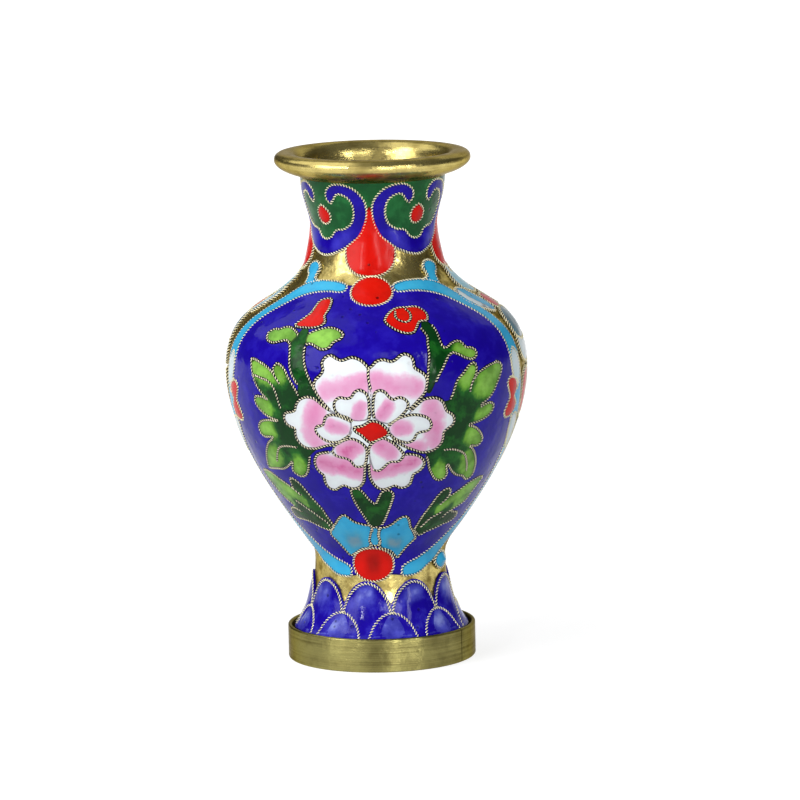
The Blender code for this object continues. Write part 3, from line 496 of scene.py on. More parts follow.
@dataclass(frozen=True)
class WireFinish(Finish):
    """Twisted gilt wire, bright on the strands, with painted shade and near-black patina in the lay between them."""

    name: str
    slot: Slot
    bright: Colour
    # Colour of the lay between the strands: painted shade and patina.
    lay_shade_and_patina: Colour
    gloss: float = 0.28
    metal: float = 0.2
    wear: float = 0.2
    lay: Point = (0.4, 0.8)
    dark_rough: float = 0.35

    def dress(self, graph: Graph, shader: bpy.types.Node) -> None:
        """Sets the shader up from the strand attribute and stains, painting shade into the lay between the strands."""
        metal = graph.add("Group", {}, node_tree=SharedEffects.worked_metal())
        strand = graph.add("Attribute", {}, attribute_name="strand").outputs["Fac"]
        # Painted shade: the base colour goes near-black in the lay between the strands; stains also darken the strands.
        crest = graph.spread(strand, *self.lay)
        shade_and_wear_mask = graph.math("MULTIPLY_ADD", metal.outputs["Stain"], -self.wear, crest, clamp=True)
        graph.tree.links.new(graph.mix(shade_and_wear_mask, self.lay_shade_and_patina, self.bright), shader.inputs["Base Color"])
        rough = graph.math("MULTIPLY_ADD", graph.math("SUBTRACT", 1.0, shade_and_wear_mask), self.dark_rough, self.gloss)
        graph.tree.links.new(rough, shader.inputs["Roughness"])
        shader.inputs["Metallic"].default_value = self.metal


@dataclass(frozen=True)
class FloorFinish(Finish):
    """Pale seamless floor that reads as white round the soft shadow."""

    name: str = "studio_floor"
    tone: Colour = (0.42, 0.42, 0.42)
    near: float = 0.08
    far: float = 0.9
    near_lift: float = 0.76
    far_lift: float = 1.0

    def dress(self, graph: Graph, shader: bpy.types.Node) -> None:
        """Lifts the floor to white where the camera and mirroring surfaces see it, less so close to the vase."""
        place = graph.add("TexCoord").outputs["Object"]
        shader.inputs["Base Color"].default_value = (*self.tone, 1.0)
        shader.inputs["Roughness"].default_value = 0.9
        shader.inputs["Specular IOR Level"].default_value = 0.0
        away = graph.add("VectorMath", {0: place}, operation="LENGTH").outputs["Value"]
        lift = graph.spread(away, self.near, self.far, self.near_lift, self.far_lift)
        strength = graph.math("MULTIPLY", graph.shown_background(), lift)
        glow = graph.add("Emission", {"Color": (1.0, 1.0, 1.0, 1.0), "Strength": strength})
        both = graph.add("AddShader", {0: shader.outputs[0], 1: glow.outputs[0]})
        out = graph.tree.nodes["Material Output"]
        graph.tree.links.new(both.outputs[0], out.inputs["Surface"])


COBALT = EnamelFinish("cobalt_enamel", Slot.COBALT, (srgb(27, 6, 160), srgb(58, 52, 190), srgb(150, 160, 225)),
                      srgb(11, 0, 104), depth=0.35, wander=0.25)
LOTUS = EnamelFinish("lotus_enamel", Slot.COBALT, (srgb(30, 12, 164), srgb(84, 88, 198), srgb(170, 184, 232)),
                     srgb(14, 2, 112))
TURQUOISE = EnamelFinish("turquoise_enamel", Slot.TURQUOISE,
                         (srgb(62, 184, 228), srgb(76, 168, 200), srgb(118, 158, 172)), srgb(34, 132, 190))
TEAL = EnamelFinish("teal_enamel", Slot.TURQUOISE, (srgb(22, 104, 122), srgb(60, 160, 180)), srgb(12, 62, 80))
RED = EnamelFinish("red_enamel", Slot.RED, (srgb(224, 20, 8), srgb(180, 16, 8), srgb(120, 14, 8)),
                   srgb(158, 10, 6), depth=0.4, pits=0.9, gloss=0.2)
LEAF = EnamelFinish("leaf_green_enamel", Slot.LEAF,
                    (srgb(8, 64, 20), srgb(30, 104, 32), srgb(120, 184, 60), srgb(146, 204, 84)), srgb(4, 38, 14),
                    steps=(0.0, 0.2, 0.5, 1.0), pits=0.25)
NECK_GREEN = EnamelFinish("neck_green_enamel", Slot.NECK, (srgb(22, 96, 46), srgb(50, 130, 70)), srgb(8, 54, 28),
                          depth=0.6)
PETAL = EnamelFinish("petal_enamel", Slot.PETAL,
                     (srgb(232, 242, 244), srgb(232, 240, 243), srgb(230, 170, 206), srgb(222, 140, 186),
                      srgb(204, 76, 142)),
                     srgb(198, 184, 202), steps=(0.0, 0.28, 0.5, 0.78, 1.0), depth=0.15, wander=0.35, pits=0.1)
WHITE = EnamelFinish("white_enamel", Slot.PETAL, (srgb(224, 236, 238), srgb(130, 205, 225)), srgb(168, 190, 202),
                     depth=0.3, pits=0.2)
GILT = MetalFinish("gilt_copper", Slot.GILT, srgb(210, 192, 120), srgb(96, 76, 28), stain=0.85, gloss=0.22,
                   stain_scale=420.0)
POLISHED = MetalFinish("polished_brass", Slot.POLISHED, srgb(206, 188, 116), srgb(104, 86, 32), stain=0.6, gloss=0.24,
                       lines=0.5, uneven=0.0002, line_scale=4000.0)
BRUSHED = MetalFinish("brushed_brass", Slot.BRUSHED, srgb(148, 141, 86), srgb(64, 50, 20), stain=0.4, gloss=0.3,
                      lines=0.7, uneven=0.0003, line_scale=3200.0, drawn=0.85)
# Near-black enamel of the painted shadow along the wires.
WIRE_SHADOW = EnamelFinish("wire_shadow_enamel", Slot.COBALT, (srgb(14, 11, 26), srgb(20, 15, 36), srgb(26, 20, 48)), srgb(6, 5, 12))
# Second colour: painted shade and patina in the lay of the wire.
WIRE = WireFinish("twisted_gilt_wire", Slot.GILT, srgb(255, 247, 208), srgb(10, 7, 2))
FLOOR = FloorFinish()


# Making pieces


def finished_piece(name: str, mesh: bpy.types.Mesh, finish: Finish, nodes: Sequence[str] = ()) -> bpy.types.Object:
    """Puts a mesh into the scene as a piece of the vase.

    Args:
        name: Name of the piece.
        mesh: Its mesh, in place.
        finish: Its finish.
        nodes: CAD nodes that it stands for.

    Returns:
        The piece.
    """
    mesh.materials.clear()
    mesh.materials.append(finish.material())
    piece = bpy.data.objects.new(name, mesh)
    bpy.context.scene.collection.objects.link(piece)
    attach(piece, "root")
    if nodes:
        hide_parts(*nodes)
    LOG.info("%s: %d faces", name, len(mesh.polygons))
    return piece


def mesh_of(name: str, bm: bmesh.types.BMesh, crease: float = 40.0) -> bpy.types.Mesh:
    """Smooth mesh of a bmesh, with sharp edges above an angle in degrees."""
    bmesh.ops.recalc_face_normals(bm, faces=bm.faces[:])
    for face in bm.faces:
        face.smooth = True
    mesh = bpy.data.meshes.new(name)
    bm.to_mesh(mesh)
    bm.free()
    mesh.set_sharp_from_angle(angle=math.radians(crease))
    return mesh


def spun_mesh(name: str, loop: np.ndarray, segments: int) -> bpy.types.Mesh:
    """Closed ring turned from a loop of radius and height.

    Args:
        name: Name of the mesh.
        loop: Radius and height of the loop's points, in millimetres.
        segments: Steps round the axis.

    Returns:
        The mesh.
    """
    bm = bmesh.new()
    verts = [bm.verts.new((0.0, -radius * MM, height * MM)) for radius, height in loop]
    edges = [bm.edges.new((a, b)) for a, b in zip(verts, verts[1:] + verts[:1])]
    bmesh.ops.spin(bm, geom=verts + edges, cent=(0, 0, 0), axis=(0, 0, 1), angle=math.tau, steps=segments,
                   use_merge=True)
    bmesh.ops.remove_doubles(bm, verts=bm.verts[:], dist=WELD)
    return mesh_of(name, bm)


@dataclass(frozen=True)
class Bloom:
    """Patch of the second colour, laid along a short line."""

    start: Point
    end: Point
    reach: float
    weight: float = 1.0

    def over(self, points: np.ndarray) -> np.ndarray:
        """Strength of the patch at each flat point."""
        start, run = np.array(self.start), np.subtract(self.end, self.start)
        along = np.clip(((points - start) @ run) / max(float(run @ run), 1e-9), 0, 1)[:, None]
        gap = np.linalg.norm(points - start - along * run, axis=1)
        return self.weight * np.exp(-(gap / self.reach) ** 2)


@dataclass(frozen=True)
class Cell:
    """One enamel cell, drawn flat; cells of a higher rank lie over those of a lower one."""

    outline: Points
    rank: int = 0
    dome: float = 0.05
    reach: float = 1.2
    blooms: Tuple[Bloom, ...] = ()
    tone: float = 0.0
    # Whether the cell gets the painted shade and painted shadow line along its outline.
    shaded_at_outline: bool = True
    across: float = 0.9
    upward: float = 0.9

    @cached_property
    def line(self) -> np.ndarray:
        """Smooth outline of the cell."""
        return flowing_line(self.outline, True, OUTLINE_STEP)

    def shift(self, x: float) -> "Cell":
        """The same cell moved sideways."""
        blooms = tuple(Bloom(*shifted((b.start, b.end), x), b.reach, b.weight) for b in self.blooms)
        return replace(self, outline=shifted(self.outline, x), blooms=blooms)


@dataclass(frozen=True)
class Enameller:
    """Fills drawn cells with enamel that follows the body."""

    sunk: float = 0.24
    rank_step: float = 0.012
    bed: float = -0.75
    # Reach in millimetres of the painted shade inside a cell's outline.
    outline_shadow_reach: float = 1.1

    def face(self, cell: Cell, inset: np.ndarray) -> np.ndarray:
        """Lift of a cell's face at given distances inside its outline."""
        return -self.sunk + self.rank_step * cell.rank + cell.dome * (1 - np.exp(-(inset / cell.reach) ** 2))

    def fill(self, name: str, cells: Sequence[Cell], turn: float, finish: EnamelFinish,
             nodes: Sequence[str] = ()) -> bpy.types.Object:
        """Makes one piece of several cells.

        Args:
            name: Name of the piece.
            cells: Cells that take the same finish.
            turn: Turn of the drawing round the axis in degrees.
            finish: Enamel of the piece.
            nodes: CAD nodes that it stands for.

        Returns:
            The piece.
        """
        bm = bmesh.new()
        bloom = bm.verts.layers.float.new("bloom")
        # The edge attribute drives the painted shade and painted shadow line along each outline.
        edge = bm.verts.layers.float.new("edge")
        for cell in cells:
            self._add(bm, cell, turn, bloom, edge)
        bmesh.ops.remove_doubles(bm, verts=bm.verts[:], dist=WELD)
        return finished_piece(name, mesh_of(name, bm), finish, nodes)

    def _add(self, bm: bmesh.types.BMesh, cell: Cell, turn: float, bloom: bmesh.types.BMLayerItem,
             edge: bmesh.types.BMLayerItem) -> None:
        """Adds one closed cell: its flat face is cut into a net, wrapped round the vase and given thickness."""
        ring = [bm.verts.new((x, 0.0, z)) for x, z in cell.line]
        face = bm.faces.new(ring)
        region = [*ring, *face.edges, face]
        lows, highs = cell.line.min(axis=0), cell.line.max(axis=0)
        for axis, step, normal in ((0, cell.across, (1, 0, 0)), (1, cell.upward, (0, 0, 1))):
            for cut in np.arange(lows[axis] + 0.6 * step, highs[axis], step):
                spot = (cut, 0, 0) if axis == 0 else (0, 0, cut)
                region = bmesh.ops.bisect_plane(bm, geom=region, dist=1e-4, plane_co=spot, plane_no=normal)["geom"]
        upper = [part for part in region if isinstance(part, bmesh.types.BMVert)]
        faces = [part for part in region if isinstance(part, bmesh.types.BMFace)]
        grown = bmesh.ops.extrude_face_region(bm, geom=faces)["geom"]
        lower = [part for part in grown if isinstance(part, bmesh.types.BMVert)]
        flat = np.array([(v.co.x, v.co.z) for v in upper])
        inset = PROFILE.true_distance(flat, cell.line)
        # Painted shade towards the outline, stored in the edge attribute.
        outline_shadow_inset = np.clip(inset / self.outline_shadow_reach, 0, 1) if cell.shaded_at_outline else np.ones(len(inset))
        tint = np.full(len(flat), cell.tone)
        for patch in cell.blooms:
            tint = np.maximum(tint, patch.over(flat))
        places = PROFILE.place(flat[:, 0], flat[:, 1], self.face(cell, inset), turn)
        for vert, place, shade, depth in zip(upper, places, tint, outline_shadow_inset):
            vert.co = place
            vert[bloom] = shade
            vert[edge] = depth
        flat = np.array([(v.co.x, v.co.z) for v in lower])
        for vert, place in zip(lower, PROFILE.place(flat[:, 0], flat[:, 1], np.full(len(flat), self.bed), turn)):
            vert.co = place


@dataclass(frozen=True)
class Wire:
    """One run of twisted wire, drawn flat."""

    points: Points
    closed: bool = False
    rank: int = 0
    sunk: float = 0.0
    # Whether a painted shadow runs along the wire.
    shadow_lined: bool = True

    def shift(self, x: float) -> "Wire":
        """The same run moved sideways."""
        return replace(self, points=shifted(self.points, x))


@dataclass(frozen=True)
class Run:
    """Part of a wire that is laid in one go, with the lift of the enamel along it."""

    line: np.ndarray
    closed: bool
    level: np.ndarray


@dataclass(frozen=True)
class WireWorker:
    """Lays two-strand twisted wire along drawn runs, let into the enamel up to its crests."""

    strand: float = 0.18
    apart: float = 0.16
    turn_length: float = 1.26
    step: float = 0.12
    deep: float = 0.205
    corners: int = 12
    bury: float = 0.28
    trace: float = 0.1
    fewest: int = 8
    # Near-black tube that paints the shadow along the wires: its radius, its half width at the enamel face, its step
    # and its corners.
    shadow_tube_round: float = 0.8
    shadow_tube_half: float = 0.28
    shadow_tube_step: float = 0.35
    shadow_tube_corners: int = 20

    def lay(self, name: str, wires: Sequence[Wire], cells: Sequence[Cell], turns: Sequence[float],
            nodes: Sequence[str] = ()) -> bpy.types.Object:
        """Makes one piece of many runs.

        Args:
            name: Name of the piece.
            wires: Runs of wire.
            cells: Cells below the wires, or above them, where they hide the wires of a lower rank.
            turns: Turns of the drawing round the axis in degrees, one copy for each.
            nodes: CAD nodes that it stands for.

        Returns:
            The piece.
        """
        data = bpy.data.curves.new(name, "CURVE")
        rings = 0
        for wire in wires:
            for run in self._open_runs(wire, cells):
                for turn in turns:
                    rings += self._add(data, run, turn, self.deep + wire.sunk, self.step, self.turn_length)
        section, strand = self._section()
        mesh = self._swept(data, section)
        layer = mesh.attributes.new("strand", "FLOAT", "POINT")
        layer.data.foreach_set("value", np.tile(strand, rings).astype(np.float32))
        return finished_piece(name, mesh, WIRE, nodes)

    def seam(self, name: str, wires: Sequence[Wire], cells: Sequence[Cell], turn: float) -> bpy.types.Object:
        """Makes a painted shadow along the wires: a near-black tube that stands just through the enamel as a narrow
        band on both sides of each wire.

        Args:
            name: Name of the piece.
            wires: Runs of wire.
            cells: Cells round the wires.
            turn: Turn of the drawing round the axis in degrees.

        Returns:
            The piece.
        """
        data = bpy.data.curves.new(name, "CURVE")
        deep = math.sqrt(self.shadow_tube_round ** 2 - self.shadow_tube_half ** 2)
        for wire in wires:
            for run in self._open_runs(wire, cells):
                self._add(data, run, turn, deep, self.shadow_tube_step)
        angles = np.arange(self.shadow_tube_corners) * math.tau / self.shadow_tube_corners
        mesh = self._swept(data, self._outline(np.full(self.shadow_tube_corners, self.shadow_tube_round * MM), angles))
        for title, value in (("bloom", 0.0), ("edge", 1.0)):
            layer = mesh.attributes.new(title, "FLOAT", "POINT")
            layer.data.foreach_set("value", np.full(len(mesh.vertices), value, dtype=np.float32))
        return finished_piece(name, mesh, WIRE_SHADOW)

    @staticmethod
    def _swept(data: bpy.types.Curve, section: bpy.types.Object) -> bpy.types.Mesh:
        """Mesh of a section carried along all splines of a curve, closed at the ends."""
        data.dimensions = "3D"
        data.bevel_mode = "OBJECT"
        data.bevel_object = section
        holder = bpy.data.objects.new(data.name + "_path", data)
        bpy.context.scene.collection.objects.link(holder)
        mesh = bpy.data.meshes.new_from_object(holder.evaluated_get(bpy.context.evaluated_depsgraph_get()))
        mesh.name = data.name
        for used in (holder, section):
            bpy.data.objects.remove(used)
        bm = bmesh.new()
        bm.from_mesh(mesh)
        bmesh.ops.holes_fill(bm, edges=[edge for edge in bm.edges if edge.is_boundary], sides=0)
        bmesh.ops.recalc_face_normals(bm, faces=bm.faces[:])
        for face in bm.faces:
            face.smooth = True
        bm.to_mesh(mesh)
        bm.free()
        return mesh

    def _section(self) -> Tuple[bpy.types.Object, np.ndarray]:
        """Outline of the two strands side by side, and how far each of its points stands out."""
        angles = np.arange(self.corners) * math.tau / self.corners
        sides = self.apart * np.sin(angles)
        radius = (self.apart * np.abs(np.cos(angles)) + np.sqrt(self.strand ** 2 - sides ** 2)) * MM
        return self._outline(radius, angles), (radius - radius.min()) / np.ptp(radius)

    @staticmethod
    def _outline(radius: np.ndarray, angles: np.ndarray) -> bpy.types.Object:
        """Closed curve through points given by radius and angle."""
        data = bpy.data.curves.new("wire_section", "CURVE")
        spline = data.splines.new("POLY")
        spline.points.add(len(angles) - 1)
        spline.use_cyclic_u = True
        for point, x, y in zip(spline.points, radius * np.cos(angles), radius * np.sin(angles)):
            point.co = (x, y, 0, 1)
        holder = bpy.data.objects.new("wire_section", data)
        bpy.context.scene.collection.objects.link(holder)
        return holder

    def _open_runs(self, wire: Wire, cells: Sequence[Cell]) -> List[Run]:
        """Parts of a wire that no higher cell covers, lifted to the cells they lie on."""
        line = flowing_line(wire.points, wire.closed, self.trace)
        free = np.ones(len(line), dtype=bool)
        level = np.full(len(line), -ENAMEL.sunk + ENAMEL.rank_step * wire.rank)
        for cell in cells:
            inner = within(line, cell.line)
            if not inner.any():
                continue
            inset = PROFILE.true_distance(line[inner], cell.line)
            level[inner] = np.maximum(level[inner], ENAMEL.face(cell, inset))
            if cell.rank > wire.rank:
                inner[inner] = inset > self.bury
                free &= ~inner
        if free.all():
            return [Run(line, wire.closed, level)]
        if wire.closed:
            first = int(np.argmin(free))
            line, free, level = (np.roll(part, -first, axis=0) for part in (line, free, level))
        edges = np.flatnonzero(np.diff(np.concatenate([[False], free, [False]]).astype(int)))
        spans = zip(edges[::2], edges[1::2])
        return [Run(line[a:b], False, level[a:b]) for a, b in spans if b - a > self.fewest]

    @staticmethod
    def _add(data: bpy.types.Curve, run: Run, turn: float, deep: float, step: float, turn_length: float = 0.0) -> int:
        """Adds one run as a spline, twisted where a turn length is given; returns the number of its points."""
        path = PROFILE.place(run.line[:, 0], run.line[:, 1], run.level - deep, turn)
        if run.closed:
            path = np.vstack([path, path[:1]])
        travelled = np.concatenate([[0], np.cumsum(np.linalg.norm(np.diff(path, axis=0), axis=1))]) / MM
        length = travelled[-1]
        count = max(4, round(length / step))
        marks = np.linspace(0, length, count + 1)
        if run.closed:
            marks = marks[:-1]
        places = np.column_stack([np.interp(marks, travelled, path[:, axis]) for axis in range(3)])
        half_turns = max(1, round(length / turn_length * 2)) if turn_length else 0
        spline = data.splines.new("POLY")
        spline.points.add(len(marks) - 1)
        spline.use_cyclic_u = run.closed
        spline.points.foreach_set("co", np.column_stack([places, np.ones(len(marks))]).ravel())
        spline.points.foreach_set("tilt", math.pi * half_turns * marks / length)
        return len(marks)


ENAMEL = Enameller()
WIREWORK = WireWorker()


# Sub-assemblies


@dataclass(frozen=True)
class MetalBody:
    """Gilt copper body with its brass rim and foot band, in millimetres."""

    ground_lift: float = -0.66
    inner_lift: float = -2.6
    skirt_height: float = 5.2
    segments: int = 192
    band_radius: float = 18.45
    band_wall: float = 0.8
    band_height: float = 6.6
    band_round: float = 0.35
    seam_angle: float = 61.0
    seam_slit: float = 0.55
    wall_rings: int = 150
    band_corner_steps: int = 5
    band_crease: float = 30.0
    rim_step: float = 0.22
    rim: Points = ((13.4, 94.7), (14.4, 95.3), (15.2, 95.7), (16.4, 96.1), (17.5, 96.6), (18.4, 97.2), (19.0, 97.9),
                   (19.15, 98.55), (18.95, 99.25), (18.3, 99.78), (17.3, 99.98), (16.3, 99.96), (15.4, 99.65),
                   (14.75, 99.05), (14.35, 98.3), (14.05, 97.3), (13.55, 96.1), (12.8, 94.7), (12.15, 93.3),
                   (12.3, 92.6), (12.9, 93.6))

    def build(self) -> None:
        """Makes the body, the rim and the foot band."""
        finished_piece("gilt_body", self._body(), GILT, ("foot_shell", "belly_shell", "shoulder_shell", "neck_shell"))
        rim = spun_mesh("polished_rim", flowing_line(self.rim, True, self.rim_step), self.segments)
        finished_piece("polished_rim", rim, POLISHED, ("rim_bead",))
        finished_piece("brushed_foot_band", self._band(), BRUSHED, ("foot_band",))

    def _body(self) -> bpy.types.Mesh:
        """Copper wall, bare where no enamel covers it."""
        heights = np.linspace(PROFILE.outline[0, 1], PROFILE.outline[-1, 1], self.wall_rings)
        lean = PROFILE.slope(heights)
        length = np.hypot(1, lean)
        walls = []
        for lift in (self.ground_lift, self.inner_lift):
            walls.append(np.column_stack([PROFILE.radius(heights) + lift / length, heights - lift * lean / length]))
        skirt = np.array([(walls[0][0, 0], self.skirt_height), (walls[1][0, 0], self.skirt_height)])
        loop = np.vstack([skirt[1:], skirt[:1], walls[0], walls[1][::-1]])
        return spun_mesh("gilt_body", loop, self.segments)

    def _band(self) -> bpy.types.Mesh:
        """Strip bent to a ring, with its butt joint open by a hair."""
        bm = bmesh.new()
        outer, top = self.band_radius, self.band_height
        inner = outer - self.band_wall
        corners = ((inner, 0.0), (outer, 0.0), (outer, top), (inner, top))
        face = bm.faces.new([bm.verts.new((0.0, -r * MM, z * MM)) for r, z in corners])
        bmesh.ops.bevel(bm, geom=[*face.verts, *face.edges], offset=self.band_round * MM, affect="VERTICES",
                        segments=self.band_corner_steps, profile=0.5, material=-1)
        turn = Quaternion((0, 0, 1), math.radians(self.seam_angle + self.seam_slit / 2))
        bmesh.ops.rotate(bm, verts=bm.verts[:], cent=(0, 0, 0), matrix=turn.to_matrix())
        bmesh.ops.spin(bm, geom=[*bm.verts, *bm.edges, *bm.faces], cent=(0, 0, 0), axis=(0, 0, 1),
                       angle=math.radians(360 - self.seam_slit), steps=self.segments)
        return mesh_of("brushed_foot_band", bm, self.band_crease)


@dataclass(frozen=True)
class NeckOrnament:
    """Four blue cloud-head scrolls round the neck with red drops between them; angles in degrees from a scroll."""

    scrolls: Tuple[float, ...] = (45.0, 135.0, 225.0, 315.0)
    drops: Tuple[float, ...] = (0.0, 90.0, 180.0, 270.0)
    sill: float = 95.35
    outer: Points = ((-11, 91.0), (-8, 91.7), (-7.3, 92.6), (-8.5, 93.6), (-11.5, 94.3), (-15.5, 94.8), (-21.5, 94.9),
                     (-27.5, 94.6), (-33.5, 93.9), (-38.5, 92.7), (-41.5, 91.4), (-42.5, 90.2), (-42.5, 89),
                     (-41.5, 87.5), (-39.5, 86.2), (-36.5, 85), (-32.5, 84.2), (-27.5, 83.4), (-21.5, 82.4),
                     (-15.5, 81.8), (-9.5, 81.3), (-3, 80.95))
    inner: Points = ((-12, 91.3), (-14, 91.7), (-15.5, 92.3), (-17.5, 92.8), (-19.5, 93.0), (-22.5, 92.9),
                     (-25.5, 92.6), (-28.5, 92.0), (-30.5, 91.2), (-31.5, 90.2), (-31.5, 89), (-30, 87.8),
                     (-27.5, 86.9), (-23.5, 86.3), (-19.5, 85.9), (-14.5, 85.8), (-10.5, 85.4), (-8.5, 84.8),
                     (-5.5, 84.2), (0, 83.9))
    seed: Points = ((0, 90.5), (4.2, 89.9), (7.4, 88.9), (7.0, 87.7), (3.6, 87.0), (-1.5, 86.8), (-5.6, 87.3),
                    (-7.4, 88.4), (-6.2, 89.5), (-3.2, 90.2))
    drop: Points = ((0, 90.4), (6, 88.4), (14, 85.0), (22.6, 82.5), (22.4, 81.2), (20.6, 79.8), (16.4, 78.5),
                    (9.4, 77.6), (0, 77.3))
    hollow: Points = arched(((-45, 90.8), (-42, 89.5), (-36, 86.4), (-26, 84.6), (-12, 82.6), (0, 82.2)))
    bowl_top: float = 82.7

    def build(self) -> None:
        """Makes the ground, scrolls, seeds, drops and wires of the neck."""
        far_half = tuple((-x, z) for x, z in reversed(self.outer))
        scroll = (*self.outer, *far_half, *reversed(arched(self.inner)))
        drop = whole(self.drop)
        fine = {"across": 1.5, "upward": 0.6}
        ground = [Cell(from_degrees(self._patch(), middle), 0, 0.0, shaded_at_outline=False, **fine) for middle in self.scrolls]
        scrolls = [Cell(from_degrees(scroll, middle), 3, 0.16, 0.8, self._haze(middle), **fine)
                   for middle in self.scrolls]
        seeds = [Cell(from_degrees(self.seed, middle), 2, 0.2, 0.6, **fine) for middle in self.scrolls]
        drops = [Cell(from_degrees(drop, middle), 1, 0.45, 2.2, **fine) for middle in self.drops]
        ENAMEL.fill("neck_ground_enamel", ground, 0.0, NECK_GREEN, ("neck_ground",))
        for number in range(4):
            tag = f"_{number + 1}"
            ENAMEL.fill("scroll" + tag, scrolls[number:number + 1], 0.0, COBALT, ("neck_scroll" + tag,))
            ENAMEL.fill("seed" + tag, seeds[number:number + 1], 0.0, RED, ("neck_seed" + tag,))
            ENAMEL.fill("drop" + tag, drops[number:number + 1], 0.0, RED, ("neck_drop" + tag,))
        bowl = sorted(point for point in drop if point[1] < self.bowl_top)
        wires = [Wire(from_degrees(scroll), True, 3), Wire(from_degrees(self.seed), True, 2)]
        wires.append(Wire(from_degrees(bowl, -45.0), False, 2))
        WIREWORK.lay("neck_wirework", wires, [Cell(from_degrees(scroll), 3), Cell(from_degrees(scroll, -90.0), 3)],
                     self.scrolls, ("neck_wires",))

    def _patch(self) -> Points:
        """Quarter of the green ground: a band under the rim that also fills the hollow of the scroll."""
        return (*((x, self.sill) for x in range(45, -46, -9)), *self.hollow)

    @staticmethod
    def _haze(middle: float) -> Tuple[Bloom, ...]:
        """Paler patches near the foot of a scroll."""
        line = ((24, 84.4), (12, 83.2))
        return tuple(Bloom(*from_degrees(mirrored(line, side), middle), 2.0, 0.45) for side in Side)


